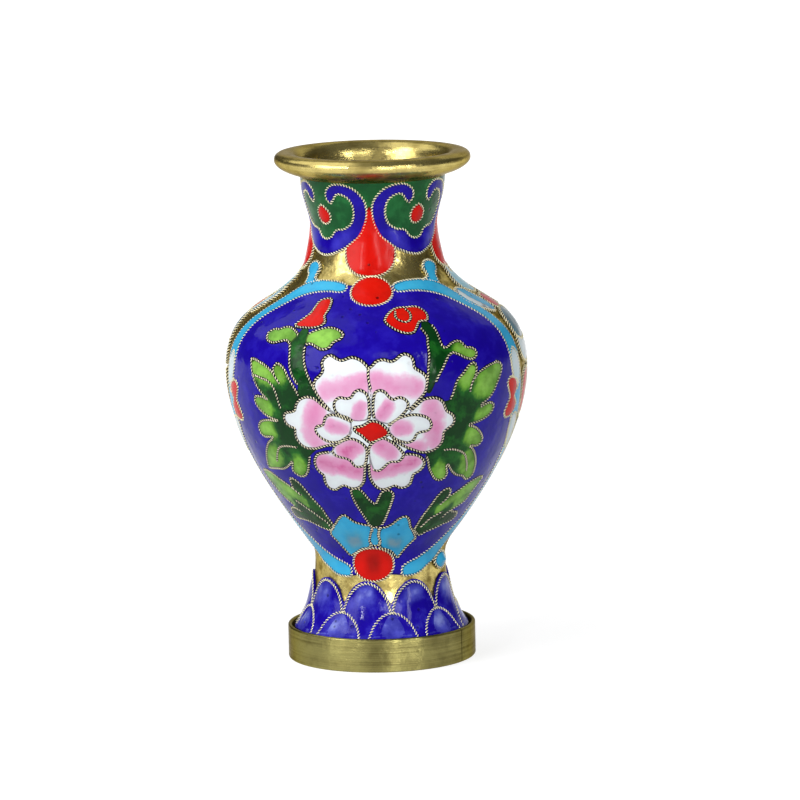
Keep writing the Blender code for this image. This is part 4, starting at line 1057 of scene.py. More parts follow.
class FlowerDrawing:
    """Lines of the peony panel, given in girth millimetres from the flower's zero and millimetres of height."""

    OUTER_PETALS: Tuple[Points, ...] = (
        ((-1.5, 61.6), (-2.2, 62.4), (-3.2, 63.2), (-4.8, 63.7), (-6, 63.4), (-7, 63.1), (-8, 63.4), (-9.2, 64),
         (-10.4, 63.6), (-11, 62.6), (-10.7, 61.2), (-11.3, 60.2), (-12.3, 59.2), (-12.6, 58), (-12, 56.6), (-11, 55.2),
         (-9.5, 53.5)),
        ((-1.5, 61.6), (-0.7, 62.2), (0, 62.9), (1.5, 63.2), (3, 62.8), (4, 63.2), (5, 63.9), (6, 64.1), (7, 63.6),
         (7.5, 62.6), (7.5, 61.6), (8.5, 60.8), (9.5, 60.1), (10, 59), (9.9, 57.9), (9.6, 56.8), (8.9, 55.9), (8, 55),
         (7, 54), (6.4, 53.5)),
        ((6.8, 53.2), (8, 54.3), (9.3, 55.2), (10.8, 55.4), (12.2, 55.2), (13.4, 54.3), (13.9, 53.2), (14.3, 52.5),
         (15.5, 51.8), (16.2, 50.8), (16, 49.7), (15, 49), (14.1, 48.3), (14.1, 47.1), (13.8, 46), (12.8, 45),
         (11.2, 44.5), (9.5, 44.5), (8, 45), (6, 45.8), (4.5, 46.6), (3, 47.5)),
        ((-2, 42.5), (-2.1, 41), (-2, 39.8), (-1.3, 38.3), (0, 37.2), (1.3, 37), (3, 37.4), (4, 37.7), (5.2, 37.2),
         (6.5, 37.2), (7.7, 37.8), (8, 39), (8.3, 39.9), (9.5, 40.5), (10.4, 41.4), (10.5, 42.3), (9.8, 43.2),
         (8.5, 43.9), (7, 44.2), (6, 44.2)),
        ((-10.8, 44.8), (-12, 44.6), (-13.3, 44.3), (-14.2, 43.6), (-14.7, 42.6), (-14.7, 41.4), (-14.2, 40.5),
         (-13.3, 39.8), (-13.4, 38.7), (-13.2, 37.6), (-12.3, 36.9), (-11, 36.8), (-9.8, 37.4), (-8.5, 37.8),
         (-7.5, 37.4), (-6, 37.2), (-4.7, 37.6), (-3.7, 38.6), (-3.3, 40), (-3.1, 41.5), (-2.9, 42.8)),
        ((-9.5, 53.4), (-10.8, 54.2), (-12, 55.2), (-13.2, 55.8), (-14.5, 55.8), (-16, 55.1), (-16.8, 54), (-17.2, 53),
         (-18.2, 52.6), (-19.5, 52.3), (-20.1, 51.4), (-19.9, 50.4), (-18.8, 49.6), (-17.8, 49.3), (-18, 48.2),
         (-17.8, 47), (-17, 46), (-15.5, 45.4), (-13.5, 45.5), (-12, 45.9), (-11, 46.2), (-9.5, 46.4)),
    )
    OUTER_ROOTS: Tuple[Points, ...] = (
        ((-5.5, 51.5), (-1.5, 52.5)), ((3, 51), (-1.2, 52.5)), ((2.5, 49.5),), ((3, 46.5), (-1.5, 46)),
        ((-2.8, 46), (-7, 47)), ((-5.5, 48.5), (-5.5, 51)))
    OUTER_PINK: Tuple[Tuple[Bloom, ...], ...] = (
        (Bloom((-10, 57.2), (-2.6, 58.6), 2.7, 0.72),),
        (Bloom((-0.4, 59.0), (7.4, 57.6), 2.7, 0.72),),
        (Bloom((11.0, 53.4), (12.2, 47.0), 2.8, 0.75), Bloom((9.4, 45.6), (5.4, 44.6), 2.0, 0.75)),
        (Bloom((-0.6, 40.8), (8, 42.6), 2.1, 0.9),),
        (Bloom((-12.4, 42.8), (-4.4, 40.8), 2.2, 0.86), Bloom((-13.2, 42.8), (-10.6, 42.0), 2.3, 1.0)),
        (Bloom((-12.6, 53.8), (-14.0, 48), 3.0, 0.7), Bloom((-13, 46.4), (-10, 44.8), 2.0, 0.7)))
    INNER_PETALS: Tuple[Points, ...] = (
        ((-4.9, 51.4), (-6, 52.1), (-7.6, 52.6), (-8.3, 53.4), (-8.5, 54.5), (-8.2, 55.4), (-7.2, 56), (-6, 55.8),
         (-5, 56.1), (-4.4, 57), (-3.4, 57.5), (-2.3, 57), (-1.7, 55.9), (-1.6, 54), (-1.5, 52.6), (-1.8, 51.6)),
        ((-0.6, 51.9), (-0.8, 53.5), (-0.7, 55.5), (-0.3, 57), (0.6, 57.4), (1.6, 57), (2.3, 56.1), (3.2, 55.5),
         (4.3, 55.9), (5.4, 55.5), (6.1, 54.6), (5.9, 53.6), (5, 52.5), (3.8, 51.5), (2.2, 50.6)),
        ((2.2, 50.2), (3.5, 51.3), (5, 52), (7, 52.3), (9, 52), (10.5, 51.2), (11.1, 50), (10.7, 49.1), (9.8, 48.8),
         (8.7, 48.7), (8, 48.3), (7.5, 47.2), (6.3, 46.7), (5, 47), (3.5, 47.7), (2.5, 48.6)),
        ((-1.2, 41.3), (0, 41), (1.2, 41.7), (2.2, 42.6), (3.2, 42.9), (4.3, 42.8), (5.2, 43.4), (5.5, 44.2),
         (4.8, 45.2), (3.8, 46.2), (2.2, 47.3), (0.8, 47.8), (-0.8, 47), (-1.8, 46), (-2, 44.5)),
        ((-9.9, 45.2), (-9.6, 44.4), (-8.5, 43.9), (-7, 43.6), (-6, 43), (-5.2, 42), (-4, 41.9), (-3, 42.3),
         (-2.6, 43.5), (-2.4, 45), (-2.6, 46), (-4, 47.2), (-5.5, 47.7), (-7, 47.4), (-8.6, 46.6), (-9.7, 45.9)),
        ((-5.2, 51.2), (-6.5, 51.8), (-8, 52.4), (-9.5, 52.5), (-10.5, 52), (-10.9, 51), (-11.3, 50.3), (-12.4, 50.1),
         (-13, 49.3), (-12.5, 48.3), (-11.5, 47.5), (-10, 47), (-8.2, 47.1), (-7, 47.7), (-5.8, 48.5)),
    )
    INNER_PINK: Tuple[Tuple[Bloom, ...], ...] = (
        (Bloom((-4.2, 52.2), (-3.4, 54.2), 1.6, 0.85),), (Bloom((1, 52.2), (2.0, 54.2), 1.6, 0.85),),
        (Bloom((4, 49.8), (5.6, 49.9), 2.1, 0.75),), (Bloom((0.4, 46.6), (2.8, 44.8), 2.3, 0.8),),
        (Bloom((-5, 46.4), (-7, 45.0), 2.3, 0.9),), (Bloom((-7, 49.8), (-9.4, 50.2), 1.8, 0.8),))
    PETAL_DIVIDER: Points = ((-1.6, 61.6), (-1.6, 60), (-1.4, 58.6), (-1.2, 57.6))
    ROSETTE: Points = oval(-1.5, 49.4, 9.5, 7.0)
    HEART: Points = ((-4.7, 50), (-3.6, 50.2), (-2.5, 50.6), (-1.6, 51.2), (-0.8, 51.3), (0.3, 51), (1.3, 50.2),
                     (2.3, 48.9), (1.4, 48.1), (0.3, 47.6), (-0.8, 47.2), (-1.8, 47.1), (-2.6, 47.8), (-3.4, 48.6),
                     (-4.5, 49.3))
    LEFT_LOBES: Tuple[Points, ...] = (
        ((-16.2, 56), (-16.5, 56.7), (-17.4, 58), (-18.5, 59.5), (-19.5, 60.9), (-20.5, 61.6), (-21.5, 61.9),
         (-22.4, 60.8), (-22.1, 59.8)),
        ((-22.1, 59.6), (-22.5, 60), (-23.8, 60.8), (-25, 61.3), (-26.5, 61.7), (-28, 62), (-29.4, 62), (-29.3, 61.5),
         (-28.8, 60), (-28.2, 58.8), (-27.3, 57.3), (-26.2, 56.2), (-25, 55.2), (-24.2, 54.7)),
        ((-24.1, 54.5), (-25.3, 54.9), (-27.7, 54.8), (-28.1, 53.9), (-27.4, 52.8), (-25.3, 51.4), (-23.1, 50.8),
         (-22, 50.6)),
        ((-22, 50.4), (-24.5, 50.4), (-26, 50.2), (-27.5, 49.7), (-28.7, 48.5), (-28.5, 47.2), (-27.2, 46.7),
         (-25.5, 46.9), (-24.6, 46.9)),
        ((-25, 46.5), (-27, 45.4), (-28.5, 44), (-29.8, 42.5), (-30.8, 41), (-31.3, 40), (-29.5, 39.9), (-27.5, 40.1),
         (-25.5, 40.2), (-23.7, 40.7), (-22.3, 41.4), (-21.2, 42.1)),
        ((-20.9, 42.2), (-21.6, 41), (-21.9, 40), (-21, 39.4), (-19.8, 39.1), (-18.5, 39.5), (-17.3, 40.5), (-16.5, 42),
         (-15.7, 43.6)))
    LEFT_ROOT: Points = ((-12.5, 46), (-9.5, 49.5), (-12, 53.5))
    LEFT_VEINS: Tuple[Points, ...] = (
        ((-28.6, 58.9), (-27, 58.9), (-25.5, 58.6), (-24, 58.4), (-22.8, 57.7), (-22, 56.8), (-21.4, 55.5), (-21, 54),
         (-20.7, 53.2)),
        ((-26.3, 41.7), (-25.4, 43), (-24, 44.6), (-22.6, 45.2), (-20.5, 45.4), (-18.4, 45.3)),
        ((-20.6, 58), (-22.1, 59.6)))
    LEFT_LIGHT: Tuple[Bloom, ...] = (
        Bloom((-28.4, 61), (-24.5, 59.8), 2.3), Bloom((-21.3, 61), (-20.4, 59.3), 1.6),
        Bloom((-27.2, 54), (-25, 52.8), 1.9), Bloom((-27.6, 48.3), (-25, 48.6), 1.9),
        Bloom((-30, 41), (-26, 43), 2.3), Bloom((-20.4, 40.2), (-19, 41.5), 1.6))
    LEFT_STEM: Tuple[Points, Points] = (
        ((-15.4, 65.5), (-15.2, 63.5), (-14.8, 62), (-14.1, 60.3), (-13.2, 58.6), (-12.6, 57.5)),
        ((-16.2, 58.2), (-16.8, 58.9), (-17.6, 60), (-18.2, 61.5), (-18.5, 63), (-18.8, 64.5), (-19.3, 65.8)))
    LEFT_STEM_FOOT: Points = ((-9.6, 53.6), (-13, 52), (-16.2, 56))
    LEFT_STEM_HEAD: Points = ((-18.2, 67.6), (-17, 69), (-15.5, 67.8))
    LEFT_LEAFLET: Points = ((-18, 67.4), (-19.2, 68), (-21, 68.5), (-22.5, 68.5), (-24, 68), (-25.5, 67.9),
                            (-26.8, 67.1), (-26, 66), (-24, 65.6), (-22, 66), (-20.5, 66.3), (-19.3, 65.8))
    MIDDLE_LEAFLET: Points = ((-15.6, 67.6), (-14.3, 68.2), (-12.5, 68.7), (-10.5, 68.9), (-8.8, 68.6), (-7.3, 67.9),
                              (-7.6, 67.1), (-9, 66.5), (-10, 65.4), (-11.5, 65.1), (-13, 65.6), (-14.2, 66),
                              (-15.3, 65.8))
    LEFT_BUD: Points = ((-20.2, 69), (-18.1, 71.1), (-18.1, 72.8), (-16.4, 73.4), (-14.2, 73.3), (-13.4, 71.9),
                        (-13.6, 70.8), (-12.6, 69.7), (-13.7, 69), (-17, 68.7))
    RIGHT_BUD: Points = ((2.4, 70), (3.5, 71.1), (5.8, 71.9), (9, 72), (12.3, 71.9), (13.7, 70.9), (13, 69.8),
                         (10.8, 69.6), (9.6, 68.7), (8.5, 67.9), (6.5, 67.9), (4.2, 68.7))
    BUD_SWIRL: Points = ((5.5, 71.5), (5.2, 70.5), (6, 69.9), (7.5, 69.6), (8.8, 70.1), (9.2, 71), (8.3, 71.8))
    RIGHT_STEM: Tuple[Points, Points] = (
        ((13.5, 69), (13.9, 67.9), (14, 66.8), (14.1, 65.6), (14.5, 64.8), (15.2, 64.8), (16.5, 65.4), (18, 65.7),
         (19, 65.4), (19.8, 64.4), (21, 64.2), (21.9, 63.7), (22.1, 63), (21.5, 62.3), (20.3, 62.1), (19, 62.5),
         (17.5, 63.3), (16.3, 63.7), (15.3, 63.3), (14.4, 62.3), (13.5, 61), (12.7, 59.9), (11.8, 58.4)),
        ((10.1, 58.5), (10.3, 60), (10.5, 61.5), (10.8, 62.9), (11, 64.4), (11.1, 65.8), (11.4, 67), (10.6, 68.5)))
    RIGHT_STEM_LIGHT: Tuple[Bloom, ...] = (Bloom((21, 63.2), (18.4, 64.2), 1.7),)
    RIGHT_STEM_FOOT: Points = ((10.5, 56.3), (9.4, 57.2))
    RIGHT_STEM_HEAD: Points = ((12, 69.9),)
    RIGHT_LOBES: Tuple[Points, ...] = (
        ((15, 54.8), (15.5, 55.7), (16, 57), (16.4, 58), (17, 58.7), (18, 59.5), (19, 60.4), (20, 61.1), (21, 61.3),
         (21.5, 60.7), (21.3, 59.5), (20.8, 58.5)),
        ((20.9, 58.3), (21.8, 59.2), (23, 59.7), (24.5, 60.2), (26, 60.5), (28, 60.6), (29, 59.7), (28.3, 58),
         (27, 56.3), (26.3, 55.2), (25, 54), (23.8, 53.4), (22.7, 52.8)),
        ((22.8, 52.4), (24, 52.8), (25.5, 52.9), (26.6, 52.3), (26.4, 51.2), (25.2, 50.3), (23, 49.6), (21, 49.3),
         (20.2, 49.3)),
        ((20.2, 48.9), (20.8, 48.8), (22, 48.4), (23.3, 47.6), (24.5, 46.6), (25.2, 45.5), (24.6, 44.6), (23.3, 44.4),
         (22, 44.7)),
        ((21.8, 44.5), (22.8, 43.9), (24, 42.8), (25.2, 41.3), (26, 39.8), (26.3, 38.2), (25.6, 37.5), (24.3, 37.4),
         (22.5, 38.3), (20.5, 38.7), (19, 39.4), (17.7, 40.4), (16.8, 41.4)),
        ((16.4, 41.2), (16.7, 40.4), (17.2, 39.4), (16.8, 38.4), (15.6, 38.1), (14.2, 38.5), (13, 39.6), (12, 41),
         (11.4, 42.5), (10.8, 43.6)))
    RIGHT_ROOT: Points = ((9, 46.5), (10, 51), (12, 54))
    RIGHT_VEINS: Tuple[Points, ...] = (
        ((14.9, 44.5), (17, 44.4), (19, 43.9), (20.8, 43), (22, 41.6), (22.8, 40.3), (23.2, 39.3)),
        ((20.7, 58.3), (20, 57.2), (19.6, 55.8)))
    RIGHT_LIGHT: Tuple[Bloom, ...] = (
        Bloom((20.5, 60.4), (18.6, 58.4), 1.8), Bloom((27.8, 59.5), (23.5, 56.8), 2.7),
        Bloom((25.7, 51.8), (23, 51), 1.6, 0.8), Bloom((24.2, 45.6), (21.5, 46.8), 1.9),
        Bloom((25.4, 38.6), (22.5, 41.5), 2.3), Bloom((16, 39.2), (14.5, 40.6), 1.6))
    FORK: Points = ((-3, 28.7), (-4, 30.2), (-5.5, 32.3), (-6.8, 34.7), (-7, 36.8), (-5, 37), (-3.8, 36), (-2.5, 34.6),
                    (-1, 33.8), (0, 35.2), (0.8, 36.3), (2.4, 36.7), (3.6, 36), (3.7, 35), (3.3, 33.8), (2.5, 31.8),
                    (1.5, 30), (0.7, 29))
    BOW: Tuple[Points, Points] = (
        ((-2.6, 28.6), (-5, 29.1), (-8, 29.7), (-10.7, 31.1), (-12.5, 30.5), (-14.5, 29.2), (-17, 27.8), (-18.4, 26.6),
         (-17, 25.2), (-15, 23.6), (-13, 22.2), (-10, 22.9), (-7, 23.8), (-4, 24.2)),
        ((0, 28.2), (2, 28.5), (4, 29.1), (6, 30.2), (8, 30.7), (9.3, 29.9), (10.2, 28.4), (12, 27), (13.4, 25.6),
         (12, 24.7), (10.2, 23.6), (8, 22), (7.4, 21.6), (4.5, 23.1), (2, 23.7), (0, 24.1)))
    BOW_HAZE: Tuple[Bloom, Bloom] = (Bloom((-11, 25.4), (-8, 25.6), 1.7), Bloom((4, 25.2), (7, 24.8), 1.6))
    KNOT: Points = ((-2.2, 28.5), (-3.5, 26.5), (-3.9, 25.4), (-3, 24.5), (-0.5, 24.6), (0.2, 25.4), (-0.6, 26.7),
                    (-0.3, 28.2))
    TOP_JEWEL: Points = oval(-1.1, 74.85, 7.3, 2.4)
    BOTTOM_JEWEL: Points = oval(-3.1, 20.5, 9.0, 3.35)
    JEWEL_DARK: Tuple[Bloom, ...] = (Bloom((-3.9, 20.6), (-2.1, 20.8), 2.3, 0.7),)
    LEFT_SPRAY: Points = (
        (-36.3, 38.5), (-34, 39), (-32, 38.8), (-30, 38.2), (-28.9, 37.7), (-26.2, 36.7), (-25, 36.1), (-24.7, 37.1),
        (-24.3, 38.2), (-23, 38.3), (-21.4, 37.3), (-20.4, 36), (-19, 34), (-17.6, 32.4), (-16.8, 30.5), (-15.8, 28.4),
        (-16.6, 27.8), (-18.2, 27.5), (-20, 27.7), (-22, 28.1), (-24, 28.6), (-26.2, 29), (-29, 29.1), (-32.2, 29.2),
        (-33.4, 30), (-31.8, 31.3), (-29.6, 31.5), (-29.4, 32.1), (-31.6, 33.2), (-33, 34), (-34, 34.9), (-34.9, 35.9),
        (-36, 37.2))
    LEFT_SPRAY_RIBS: Tuple[Points, ...] = (
        ((-25, 36.1), (-24, 35.5), (-22.8, 34.8)), ((-29.6, 31.5), (-28.2, 31.3), (-26.6, 30.9)),
        ((-26.4, 33.4), (-24.4, 32.6), (-22.8, 31.8), (-21.2, 31.1), (-19.8, 30.3), (-17.8, 29.3), (-17.2, 28.2)))
    LEFT_SPRAY_LIGHT: Tuple[Bloom, ...] = (
        Bloom((-34.6, 38.2), (-27, 35.6), 1.5), Bloom((-27, 35.6), (-22.6, 33.2), 1.0, 0.9),
        Bloom((-33.8, 35.4), (-28.6, 32.8), 1.0, 0.8))
    RIGHT_SPRAY: Points = (
        (12.2, 27.6), (12.8, 28.9), (13.6, 30.4), (14.6, 31.7), (15.6, 33.1), (16.4, 34.4), (17.6, 35.5), (19.2, 36),
        (20.4, 35.4), (20.7, 34.3), (21.6, 34.4), (23.2, 35), (25, 35.8), (27.2, 36.6), (30, 37.1), (32.3, 36.8),
        (31.6, 35.6), (30.4, 34.2), (29.2, 32.5), (26.8, 31.5), (24.6, 30.9), (24.8, 30.5), (28.2, 29.9), (28.6, 29),
        (27, 28.3), (23.6, 27.9), (20.4, 27.3), (17.2, 26.8), (15, 26.2), (13.6, 26.6))
    RIGHT_SPRAY_RIBS: Tuple[Points, ...] = (
        ((20.7, 34.3), (19.6, 33.4), (18.4, 32.6)), ((24.6, 30.9), (22.6, 30.3), (21.6, 29.6)),
        ((14.2, 28), (15.6, 29), (16.8, 29.8), (18.4, 30.3), (20.4, 30.9)))
    RIGHT_SPRAY_LIGHT: Tuple[Bloom, ...] = (
        Bloom((30.8, 36.2), (24, 34), 1.5), Bloom((24, 34), (18.6, 31.6), 1.0, 0.9),
        Bloom((30, 33.6), (25, 31.6), 1.0, 0.8))


@dataclass(frozen=True)
class PeonyPanel:
    """Cobalt panel with a peony, its buds, leaves and bow, inside a banded border."""

    face: Face
    band_inner: Points = ((9.2, 74.7), (15.3, 74.6), (20.1, 74.3), (25.7, 73.3), (29.4, 71.6), (32.2, 69.2),
                          (33.8, 65.8), (34.4, 62), (34.9, 58), (35.6, 54), (36.8, 49), (38.4, 45), (39.6, 41),
                          (40, 37), (39.2, 33), (37, 29.6), (33.6, 27), (30, 25), (25.2, 22.9), (19.7, 21.4),
                          (12, 19.9))
    band_outer: Points = ((11.5, 18.3), (16, 18), (20, 18.4), (24, 19.4), (28.5, 20.4), (33, 22.2), (37.2, 25),
                          (40.6, 28.6), (42.6, 33), (43.3, 38), (42.9, 43), (41.6, 48), (40, 53), (39, 58), (38.3, 63),
                          (36.8, 67.6), (34.4, 71.5), (31.8, 73.9), (28.4, 75.3), (22.6, 76.2), (16.8, 76.4),
                          (11.4, 76.2), (8.7, 75.6))
    whites: Tuple[Points, ...] = (
        ((36.3, 62.6), (34.9, 61.2), (34.8, 58.8), (35.7, 56.2), (37.4, 54.2), (38.6, 56.2), (38.6, 58.8),
         (37.8, 61.4)),
        ((37.6, 49.2), (37.0, 47.8), (37.7, 45.6), (39.1, 43.6), (41.2, 42.0), (42.4, 44), (41.8, 46.6), (40.2, 48.8)))
    lobes: Points = ((34.0, 57.0), (32.9, 56.0), (33.5, 54.5), (34.3, 53.0), (33.5, 51.5), (32.9, 50.0), (34.0, 49.0),
                     (37.0, 49.6), (37.8, 51.3), (36.4, 53.0), (37.2, 54.5), (36.8, 56.1))
    sprig: Points = ((21.5, 76.1), (25.2, 76.7), (25.4, 77.4), (24.8, 78.1), (25.6, 78.9), (27.6, 79.4), (30.6, 79.3),
                     (33.0, 78.5), (32.4, 77.6), (30.2, 76.9), (29.0, 75.4))
    lump: Points = ((30.0, 19.8), (32.4, 21.2), (36.4, 21.3), (39.6, 20.6), (40.8, 19.6), (38.8, 18.6), (34.4, 18.2),
                    (31.2, 18.9))

    @property
    def label(self) -> str:
        """Name of the face in the pieces' names."""
        return self.face.name.lower()

    def build(self) -> None:
        """Makes the ground, border, flower, leaves and wires of the panel."""
        cells: List[Cell] = []
        self._fill("ground", [Cell(self._ground(), 0, 0.0)], COBALT, cells, shift=False)
        self._border(cells)
        for tag, finish, drawn in self._flower():
            self._fill(tag, drawn, finish, cells)
        flower = [wire.shift(FLOWER_SHIFT) for wire in self._flower_wires()]
        WIREWORK.lay(f"{self.label}_flower_wires", flower, cells, (self.face.value,), (f"{self.label}_wires",))
        # Painted shadow along the flower wires.
        WIREWORK.seam(f"{self.label}_flower_seams", [wire for wire in flower if wire.shadow_lined], cells, self.face.value)
        WIREWORK.lay(f"{self.label}_border_wires", self._border_wires(), cells, (self.face.value,))

    @staticmethod
    def _flower() -> List[Tuple[str, EnamelFinish, List[Cell]]]:
        """Name, finish and cells of each piece of the flower drawing, from its own zero."""
        draw = FlowerDrawing
        roots = zip(draw.OUTER_PETALS, draw.OUTER_ROOTS, draw.OUTER_PINK)
        petals = [Cell(line + root, 6, 0.0, 0.9, pink) for line, root, pink in roots]
        petals += [Cell(line, 7, 0.05, 0.8, pink) for line, pink in zip(draw.INNER_PETALS, draw.INNER_PINK)]
        petals.append(Cell(draw.ROSETTE, 5, 0.0, shaded_at_outline=False))
        left_stem = draw.LEFT_STEM[0] + draw.LEFT_STEM_FOOT + draw.LEFT_STEM[1] + draw.LEFT_STEM_HEAD
        left = [Cell(sum(draw.LEFT_LOBES, ()) + draw.LEFT_ROOT, 2, 0.0, 1.0, draw.LEFT_LIGHT),
                Cell(left_stem, 3, 0.02), Cell(draw.LEFT_LEAFLET, 4, 0.08, tone=0.72),
                Cell(draw.MIDDLE_LEAFLET, 4, 0.08, tone=0.9)]
        right_leaf = Cell(sum(draw.RIGHT_LOBES, ()) + draw.RIGHT_ROOT, 2, 0.0, 1.0, draw.RIGHT_LIGHT)
        right_stem = draw.RIGHT_STEM[0] + draw.RIGHT_STEM_FOOT + draw.RIGHT_STEM[1] + draw.RIGHT_STEM_HEAD
        bow = [Cell(line, 4, 0.15, 1.2, (haze,)) for line, haze in zip(draw.BOW, draw.BOW_HAZE)]
        bottom = Cell(draw.BOTTOM_JEWEL, 8, 0.3, 1.6, draw.JEWEL_DARK, across=0.7, upward=0.5)
        return [
            ("peony_petals", PETAL, petals),
            ("peony_heart", RED, [Cell(draw.HEART, 8, 0.15, 0.8)]),
            ("foliage_left", LEAF, left),
            ("leaf_right", LEAF, [right_leaf]),
            ("stem_right", LEAF, [Cell(right_stem, 3, 0.02, 1.0, draw.RIGHT_STEM_LIGHT)]),
            ("bud_left", RED, [Cell(draw.LEFT_BUD, 5, 0.12)]),
            ("bud_right", RED, [Cell(draw.RIGHT_BUD, 5, 0.12)]),
            ("spray_left", LEAF, [Cell(draw.LEFT_SPRAY, 2, 0.06, 1.0, draw.LEFT_SPRAY_LIGHT)]),
            ("spray_right", LEAF, [Cell(draw.RIGHT_SPRAY, 2, 0.06, 1.0, draw.RIGHT_SPRAY_LIGHT)]),
            ("fork_leaf", LEAF, [Cell(draw.FORK, 2, 0.06)]),
            ("bow", TURQUOISE, bow + [Cell(draw.KNOT, 5, 0.12)]),
            ("top_jewel", RED, [Cell(draw.TOP_JEWEL, 8, 0.3, 1.4)]),
            ("bottom_jewel", RED, [bottom]),
        ]

    def _fill(self, tag: str, cells: Sequence[Cell], finish: EnamelFinish, known: List[Cell], shift: bool = True,
              stands: bool = True) -> None:
        """Makes a piece of cells and notes them for the wires.

        Args:
            tag: Name of the piece within the panel.
            cells: Its cells.
            finish: Its enamel.
            known: List that takes the cells as placed.
            shift: Whether they move from the flower's zero to the panel's middle.
            stands: Whether the piece stands for the CAD node of its name.
        """
        placed = [cell.shift(FLOWER_SHIFT) if shift else cell for cell in cells]
        known.extend(placed)
        nodes = [f"{self.label}_{tag}"] if stands else []
        ENAMEL.fill(f"{self.label}_{tag}_enamel", placed, self.face.value, finish, nodes)

    def _ground(self) -> Points:
        """Outline of the cobalt ground, under the middle of the border all round."""
        right = tuple((x - 1.2, z) for x, z in self.band_outer[1:-1] if x > 12)
        return whole(((0.0, 18.6), (8, 18.3), *right, (8, 75.8), (0.0, 75.9)))

    def _border(self, known: List[Cell]) -> None:
        """Makes the two border bands with their white and red parts and the sprigs above them."""
        for side in Side:
            tag = side.name.lower()
            band = Cell(mirrored(self.band_inner + self.band_outer, side), 6, 0.0, 0.8)
            sprig = Cell(mirrored(self.sprig, side), 5, 0.12, 0.8)
            white = [Cell(mirrored(line, side), 7, 0.12, 0.8) for line in self.whites]
            red = [Cell(mirrored(self.lobes, side), 8, 0.15, 0.8)]
            lump = [Cell(self.lump, 5, 0.9, 1.1)] if side is Side.RIGHT else []
            self._fill(f"border_{tag}", [band, sprig, *lump], TURQUOISE, known, shift=False)
            self._fill(f"border_{tag}_white", white, WHITE, known, shift=False, stands=False)
            self._fill(f"border_{tag}_red", red, RED, known, shift=False, stands=False)

    def _border_wires(self) -> List[Wire]:
        """Wires along both edges of each band, across it, and round sprigs and lobes."""
        wires = []
        for side in Side:
            wires.append(Wire(mirrored(self.band_inner + self.band_outer, side), True, 7, 0.06))
            wires.append(Wire(mirrored(self.sprig, side), False, 5))
            wires.append(Wire(mirrored(self.lobes, side), True, 8))
            wires += [Wire(mirrored(line, side), True, 7) for line in self.whites]
        wires.append(Wire(self.lump, True, 5))
        return wires

    @staticmethod
    def _flower_wires() -> List[Wire]:
        """Wires of the flower drawing, from its own zero."""
        draw = FlowerDrawing
        wires = [Wire(line, False, 6) for line in (*draw.OUTER_PETALS, draw.PETAL_DIVIDER)]
        wires += [Wire(line, False, 7) for line in draw.INNER_PETALS]
        # The jewels' wires get no painted shadow.
        wires += [Wire(line, True, 8, shadow_lined=False) for line in (draw.TOP_JEWEL, draw.BOTTOM_JEWEL)]
        wires.append(Wire(draw.HEART, True, 8))
        wires += [Wire(line, True, 5) for line in (draw.LEFT_BUD, draw.RIGHT_BUD, draw.KNOT)]
        wires.append(Wire(draw.BUD_SWIRL, False, 5))
        leaves = draw.LEFT_LOBES + draw.LEFT_VEINS + draw.RIGHT_LOBES + draw.RIGHT_VEINS
        wires += [Wire(line, False, 2) for line in leaves]
        wires += [Wire(line, False, 3) for line in draw.LEFT_STEM + draw.RIGHT_STEM]
        wires += [Wire(line, False, 4) for line in (draw.LEFT_LEAFLET, draw.MIDDLE_LEAFLET)]
        wires += [Wire(line, True, 4) for line in draw.BOW]
        wires.append(Wire(draw.FORK, False, 2))
        wires += [Wire(line, True, 2) for line in (draw.LEFT_SPRAY, draw.RIGHT_SPRAY)]
        wires += [Wire(line, False, 2) for line in draw.LEFT_SPRAY_RIBS + draw.RIGHT_SPRAY_RIBS]
        return wires


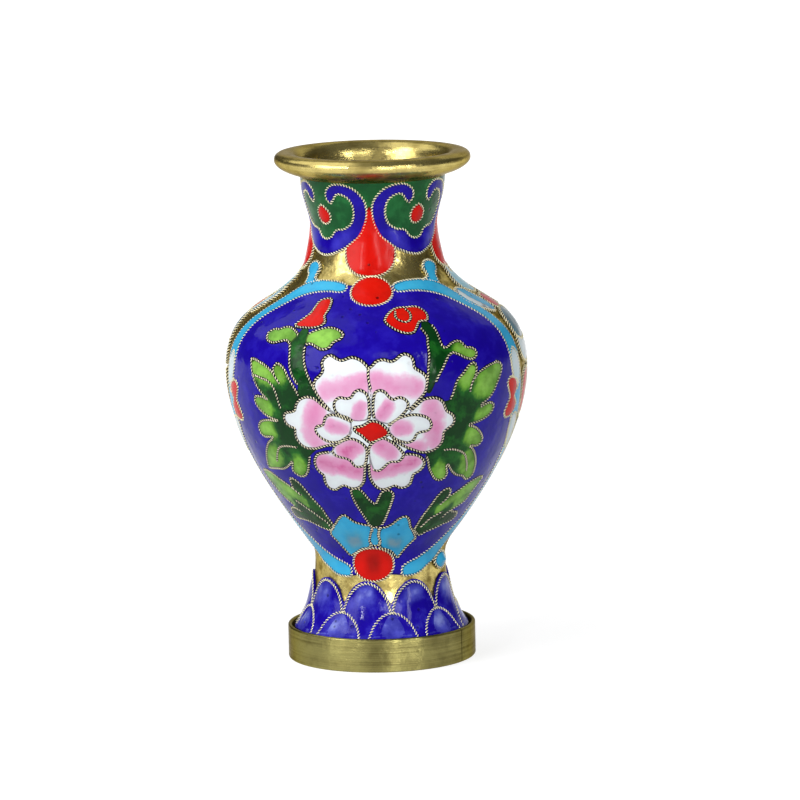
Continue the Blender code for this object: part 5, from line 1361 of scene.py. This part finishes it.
@dataclass(frozen=True)
class SideColumn:
    """Upright ornament on the gilt ground between the panels; angles in degrees from its middle."""

    side: Side
    wing: Points = ((-28.3, 72.6), (-27.5, 71.7), (-25, 70.9), (-20, 70.0), (-14, 69.3), (-10, 69.6), (-9, 70.8),
                    (-11, 72.2), (-15, 73.4), (-21, 73.9), (-26, 73.5))
    tip: Points = ((-28, 72.6), (-27.2, 71.8), (-24.8, 71.0), (-20, 70.15), (-14.6, 69.5), (-16.6, 70.7), (-20.2, 72.0),
                   (-22.6, 73.7), (-25.8, 73.4))
    crown: Points = ((0, 76.2), (4, 76.8), (8.4, 78.2), (11.6, 76.3), (13.2, 74.5), (12, 73.5), (6, 72.7), (0, 72.4))
    seed: Points = ((0, 71.9), (5.6, 71.6), (8, 70.6), (5.6, 69.6), (0, 69.3))
    calyx: Points = ((0, 69.2), (6, 69.0), (10.6, 67.8), (12.2, 65.8), (11.2, 64.2), (6, 63.4), (0, 63.2))
    petal: Points = ((0, 63.0), (6, 63.2), (11, 63.9), (12, 62.0), (10.4, 60.0), (5.4, 58.8), (0, 58.5))
    lobe: Points = ((2.0, 57.0), (6.4, 57.4), (10.2, 55.8), (11.0, 52.8), (9.4, 49.6), (5.0, 47.6), (2.0, 48.4),
                    (0.9, 52.6))
    drop: Points = ((0, 47.0), (3.4, 45.2), (4.6, 42.4), (3.0, 39.8), (0, 38.4))
    middle: float = 52.6
    left_width: float = 0.45

    def build(self) -> None:
        """Makes the enamel cells and the wires of the column."""
        tag = self.side.name.lower()
        turn = 90.0 * self.side.value
        halves = (self.petal, self.calyx, self.crown, self.seed, self.drop)
        petal, calyx, crown, seed, drop = (whole(half) for half in halves)
        glow = Bloom(*self._drawn(((-7, 73.6), (7, 73.6))), 2.2)
        tips = [Cell(self._drawn(mirrored(self.tip, side)), 2, 0.12, 0.8) for side in Side]
        white = [Cell(self._drawn(petal), 2, 0.12, 0.8), Cell(self._drawn(crown), 1, 0.12, 0.8, (glow,))]
        blue = [Cell(self._drawn(mirrored(self.wing, side)), 1, 0.0, 0.8) for side in Side]
        blue.append(Cell(self._drawn(drop), 2, 0.12, 0.8))
        lobes = [mirrored(self.lobe, side) for side in Side]
        red = [Cell(self._drawn(line), 2, 0.12, 0.8) for line in (seed, *lobes)]
        teal = [Cell(self._drawn(line), 3, 0.12, 0.8) for line in (calyx, oval(0, self.middle, 2.2, 1.2))]
        ENAMEL.fill(f"side_{tag}_white_enamel", white + tips, turn, WHITE, (f"side_cartouche_{tag}",))
        ENAMEL.fill(f"side_{tag}_blue_enamel", blue, turn, TURQUOISE)
        ENAMEL.fill(f"side_{tag}_red_enamel", red, turn, RED)
        ENAMEL.fill(f"side_{tag}_teal_enamel", teal, turn, TEAL)
        wires = [Wire(cell.outline, True, cell.rank) for cell in white + blue + red + teal]
        WIREWORK.lay(f"side_{tag}_wires", wires, teal, (turn,))

    def _drawn(self, line: Sequence[Point]) -> Points:
        """The line in girth millimetres, narrower on the left-hand side, where less of the ornament shows."""
        width = self.left_width if self.side is Side.LEFT else 1.0
        return from_degrees([(x * width, z) for x, z in line])


@dataclass(frozen=True)
class LotusFoot:
    """Two rows of blue lotus petals round the foot; angles in degrees."""

    petals: int = 9
    first: float = 31.5
    upper: Points = arched(((-19.6, 9.6), (-19.2, 11), (-17.6, 12.7), (-14.4, 14.3), (-10, 15.6), (-5, 16.4),
                            (0, 16.65)))
    lower: Points = arched(((-16.6, 6.5), (-15.6, 7.4), (-13.4, 8.7), (-9.6, 9.9), (-5, 10.7), (0, 10.95)))
    dome: float = 0.28
    wire_sunk: float = -0.06
    margin: float = 0.5
    hem: float = 6.45

    def build(self) -> None:
        """Makes the blue ground, the petals of both rows and their wires."""
        step = 360.0 / self.petals
        fine = {"across": 1.3, "upward": 0.55}
        uppers = [self.first + i * step for i in range(self.petals)]
        lowers = [middle + step / 2 for middle in uppers]
        tall = [Cell(from_degrees(self._shut(self.upper, self.hem - 0.1), middle), 1, self.dome, 1.9,
                     self._haze(middle, 14.2), **fine) for middle in uppers]
        short = [Cell(from_degrees(self._shut(self.lower, self.hem - 0.2), middle), 2, self.dome, 1.7,
                      self._haze(middle, 8.4, 0.6), 0.3, **fine) for middle in lowers]
        ground = [Cell(from_degrees(self._ground(step), middle), 0, 0.0, shaded_at_outline=False, **fine) for middle in uppers]
        ENAMEL.fill("foot_lotus_enamel", tall + short, 0.0, LOTUS, ("foot_enamel",))
        ENAMEL.fill("foot_ground_enamel", ground, 0.0, COBALT)
        low, high = self._shut(self.lower, self.hem), self._shut(self.upper, self.hem)
        covers = [replace(short[0], outline=from_degrees(low, angle)) for angle in (-step / 2, step / 2)]
        covers += [replace(tall[0], outline=from_degrees(high, angle)) for angle in (0.0, step)]
        wires = [Wire(from_degrees(self.upper), False, 1, self.wire_sunk),
                 Wire(from_degrees(self.lower, step / 2), False, 2, self.wire_sunk)]
        WIREWORK.lay("foot_lotus_wires", wires, covers, uppers, ("foot_wires",))

    @staticmethod
    def _shut(arch: Points, sill: float) -> Points:
        """Closed outline of an arch that stands on a sill."""
        return arch + tuple((x, sill) for x in (arch[-1][0] * 0.9, 0.0, arch[0][0] * 0.9))

    def _ground(self, step: float) -> Points:
        """One step of the blue ground, a little wider than the upper arch."""
        arch = [(x * 1.05, z + self.margin) for x, z in self.upper if z > 12.0]
        half = step / 2
        return ((-half, self.hem), (-half, 12.6), *arch, (half, 12.6), (half, self.hem), (0, self.hem))

    @staticmethod
    def _haze(middle: float, height: float, weight: float = 0.55) -> Tuple[Bloom, ...]:
        """Paler patch in the upper left of a petal."""
        return (Bloom(*from_degrees(((-6, height), (3, height + 0.6)), middle), 1.9, weight),)


@dataclass(frozen=True)
class Lamp:
    """Soft box aimed at the belly; place and size in millimetres."""

    name: str
    place: Tuple[float, float, float]
    size: Point
    watts: float
    aim_height: float = 50.0

    def build(self) -> None:
        """Makes the lamp."""
        data = bpy.data.lights.new(self.name, "AREA")
        data.shape = "RECTANGLE"
        data.size, data.size_y = (value * MM for value in self.size)
        data.energy = self.watts
        lamp = bpy.data.objects.new(self.name, data)
        lamp.location = Vector(self.place) * MM
        aim = Vector((0, 0, self.aim_height)) * MM
        lamp.rotation_euler = (aim - lamp.location).to_track_quat("-Z", "Y").to_euler()
        bpy.context.scene.collection.objects.link(lamp)


@dataclass(frozen=True)
class Studio:
    """White floor, soft lights and the camera; millimetres from the foot of the vase."""

    camera_turn: float = 3.5
    camera_distance: float = 1079.0
    camera_height: float = 229.1
    aim_right: float = 4.48
    aim_height: float = 50.59
    roll: float = 1.143
    focal_pixels: float = 5580.0
    frame_pixels: float = 800.0
    sensor: float = 36.0
    floor_half: float = 6000.0
    room_light: float = 0.26
    room_low: Tuple[float, Colour] = (0.5, (0.5, 0.5, 0.5))
    room_middle: Tuple[Tuple[float, Colour], ...] = ((0.60, (0.3, 0.3, 0.3)), (0.78, (0.4, 0.4, 0.4)))
    room_high: Tuple[float, Colour] = (1.0, (0.9, 0.92, 0.95))
    lamps: Tuple[Lamp, ...] = (
        Lamp("left_box", (-700, -560, 470), (500, 600), 5.2),
        Lamp("key_spot", (-420, -830, 400), (60, 84), 1.4),
        Lamp("right_strip", (600, -640, 330), (80, 520), 2.0),
        Lamp("top_box", (-760, 40, 1120), (1700, 1300), 8.7),
        Lamp("low_strip", (430, -1220, 300), (150, 520), 4.4),
        Lamp("front_box", (200, -1000, 800), (300, 60), 0.6),
        Lamp("back_fill", (260, 1300, 620), (1500, 1200), 3.8),
    )

    def build(self) -> None:
        """Makes the floor, the lights, the world and the camera."""
        self._floor()
        self._world()
        for lamp in self.lamps:
            lamp.build()
        self._camera()

    def _floor(self) -> None:
        """Wide pale floor."""
        bm = bmesh.new()
        bmesh.ops.create_grid(bm, x_segments=1, y_segments=1, size=self.floor_half * MM)
        mesh = mesh_of("studio_floor", bm)
        mesh.materials.append(FLOOR.material())
        floor = bpy.data.objects.new("studio_floor", mesh)
        bpy.context.scene.collection.objects.link(floor)

    def _world(self) -> None:
        """Soft room light, paler low down and overhead than in between."""
        world = bpy.data.worlds.new("studio_room")
        bpy.context.scene.world = world
        world.use_nodes = True
        graph = Graph(world.node_tree)
        up = graph.add("SeparateXYZ", {0: graph.add("TexCoord").outputs["Generated"]}).outputs["Z"]
        ramp = graph.add("ValToRGB", {0: graph.math("MULTIPLY_ADD", up, 0.5, 0.5)})
        stops = ramp.color_ramp.elements
        for stop, (position, tone) in zip(stops, (self.room_low, self.room_high)):
            stop.position, stop.color = position, (*tone, 1)
        for position, tone in self.room_middle:
            stops.new(position).color = (*tone, 1)
        ground = world.node_tree.nodes["Background"]
        graph.tree.links.new(ramp.outputs[0], ground.inputs["Color"])
        ground.inputs["Strength"].default_value = self.room_light

    def _camera(self) -> None:
        """Camera at the photograph's place, with its slight roll."""
        data = bpy.data.cameras.new("camera")
        data.sensor_width = self.sensor
        data.lens = self.focal_pixels * self.sensor / self.frame_pixels
        data.clip_start, data.clip_end = 0.05, 50.0
        turn = math.radians(self.camera_turn)
        right = Vector((math.cos(turn), math.sin(turn), 0))
        place = Vector((self.camera_distance * math.sin(turn), -self.camera_distance * math.cos(turn),
                        self.camera_height))
        aim = right * self.aim_right + Vector((0, 0, self.aim_height))
        look = (aim - place).to_track_quat("-Z", "Y")
        camera = bpy.data.objects.new("camera", data)
        camera.rotation_mode = "QUATERNION"
        camera.location = place * MM
        camera.rotation_quaternion = look @ Quaternion((0, 0, 1), math.radians(-self.roll))
        bpy.context.scene.collection.objects.link(camera)
        bpy.context.scene.camera = camera


def dress_base_plate() -> None:
    """Gives the CAD base plate the gilt finish."""
    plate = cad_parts["base_plate"]
    plate.data.materials.clear()
    plate.data.materials.append(GILT.material())


def main() -> None:
    """Builds the vase and the studio."""
    logging.basicConfig(level=logging.INFO, format="%(name)s %(message)s")
    bpy.context.scene.view_settings.view_transform = "Standard"
    dress_base_plate()
    MetalBody().build()
    NeckOrnament().build()
    for face in Face:
        PeonyPanel(face).build()
    for side in Side:
        SideColumn(side).build()
    LotusFoot().build()
    Studio().build()


if __name__ == "__main__":
    main()
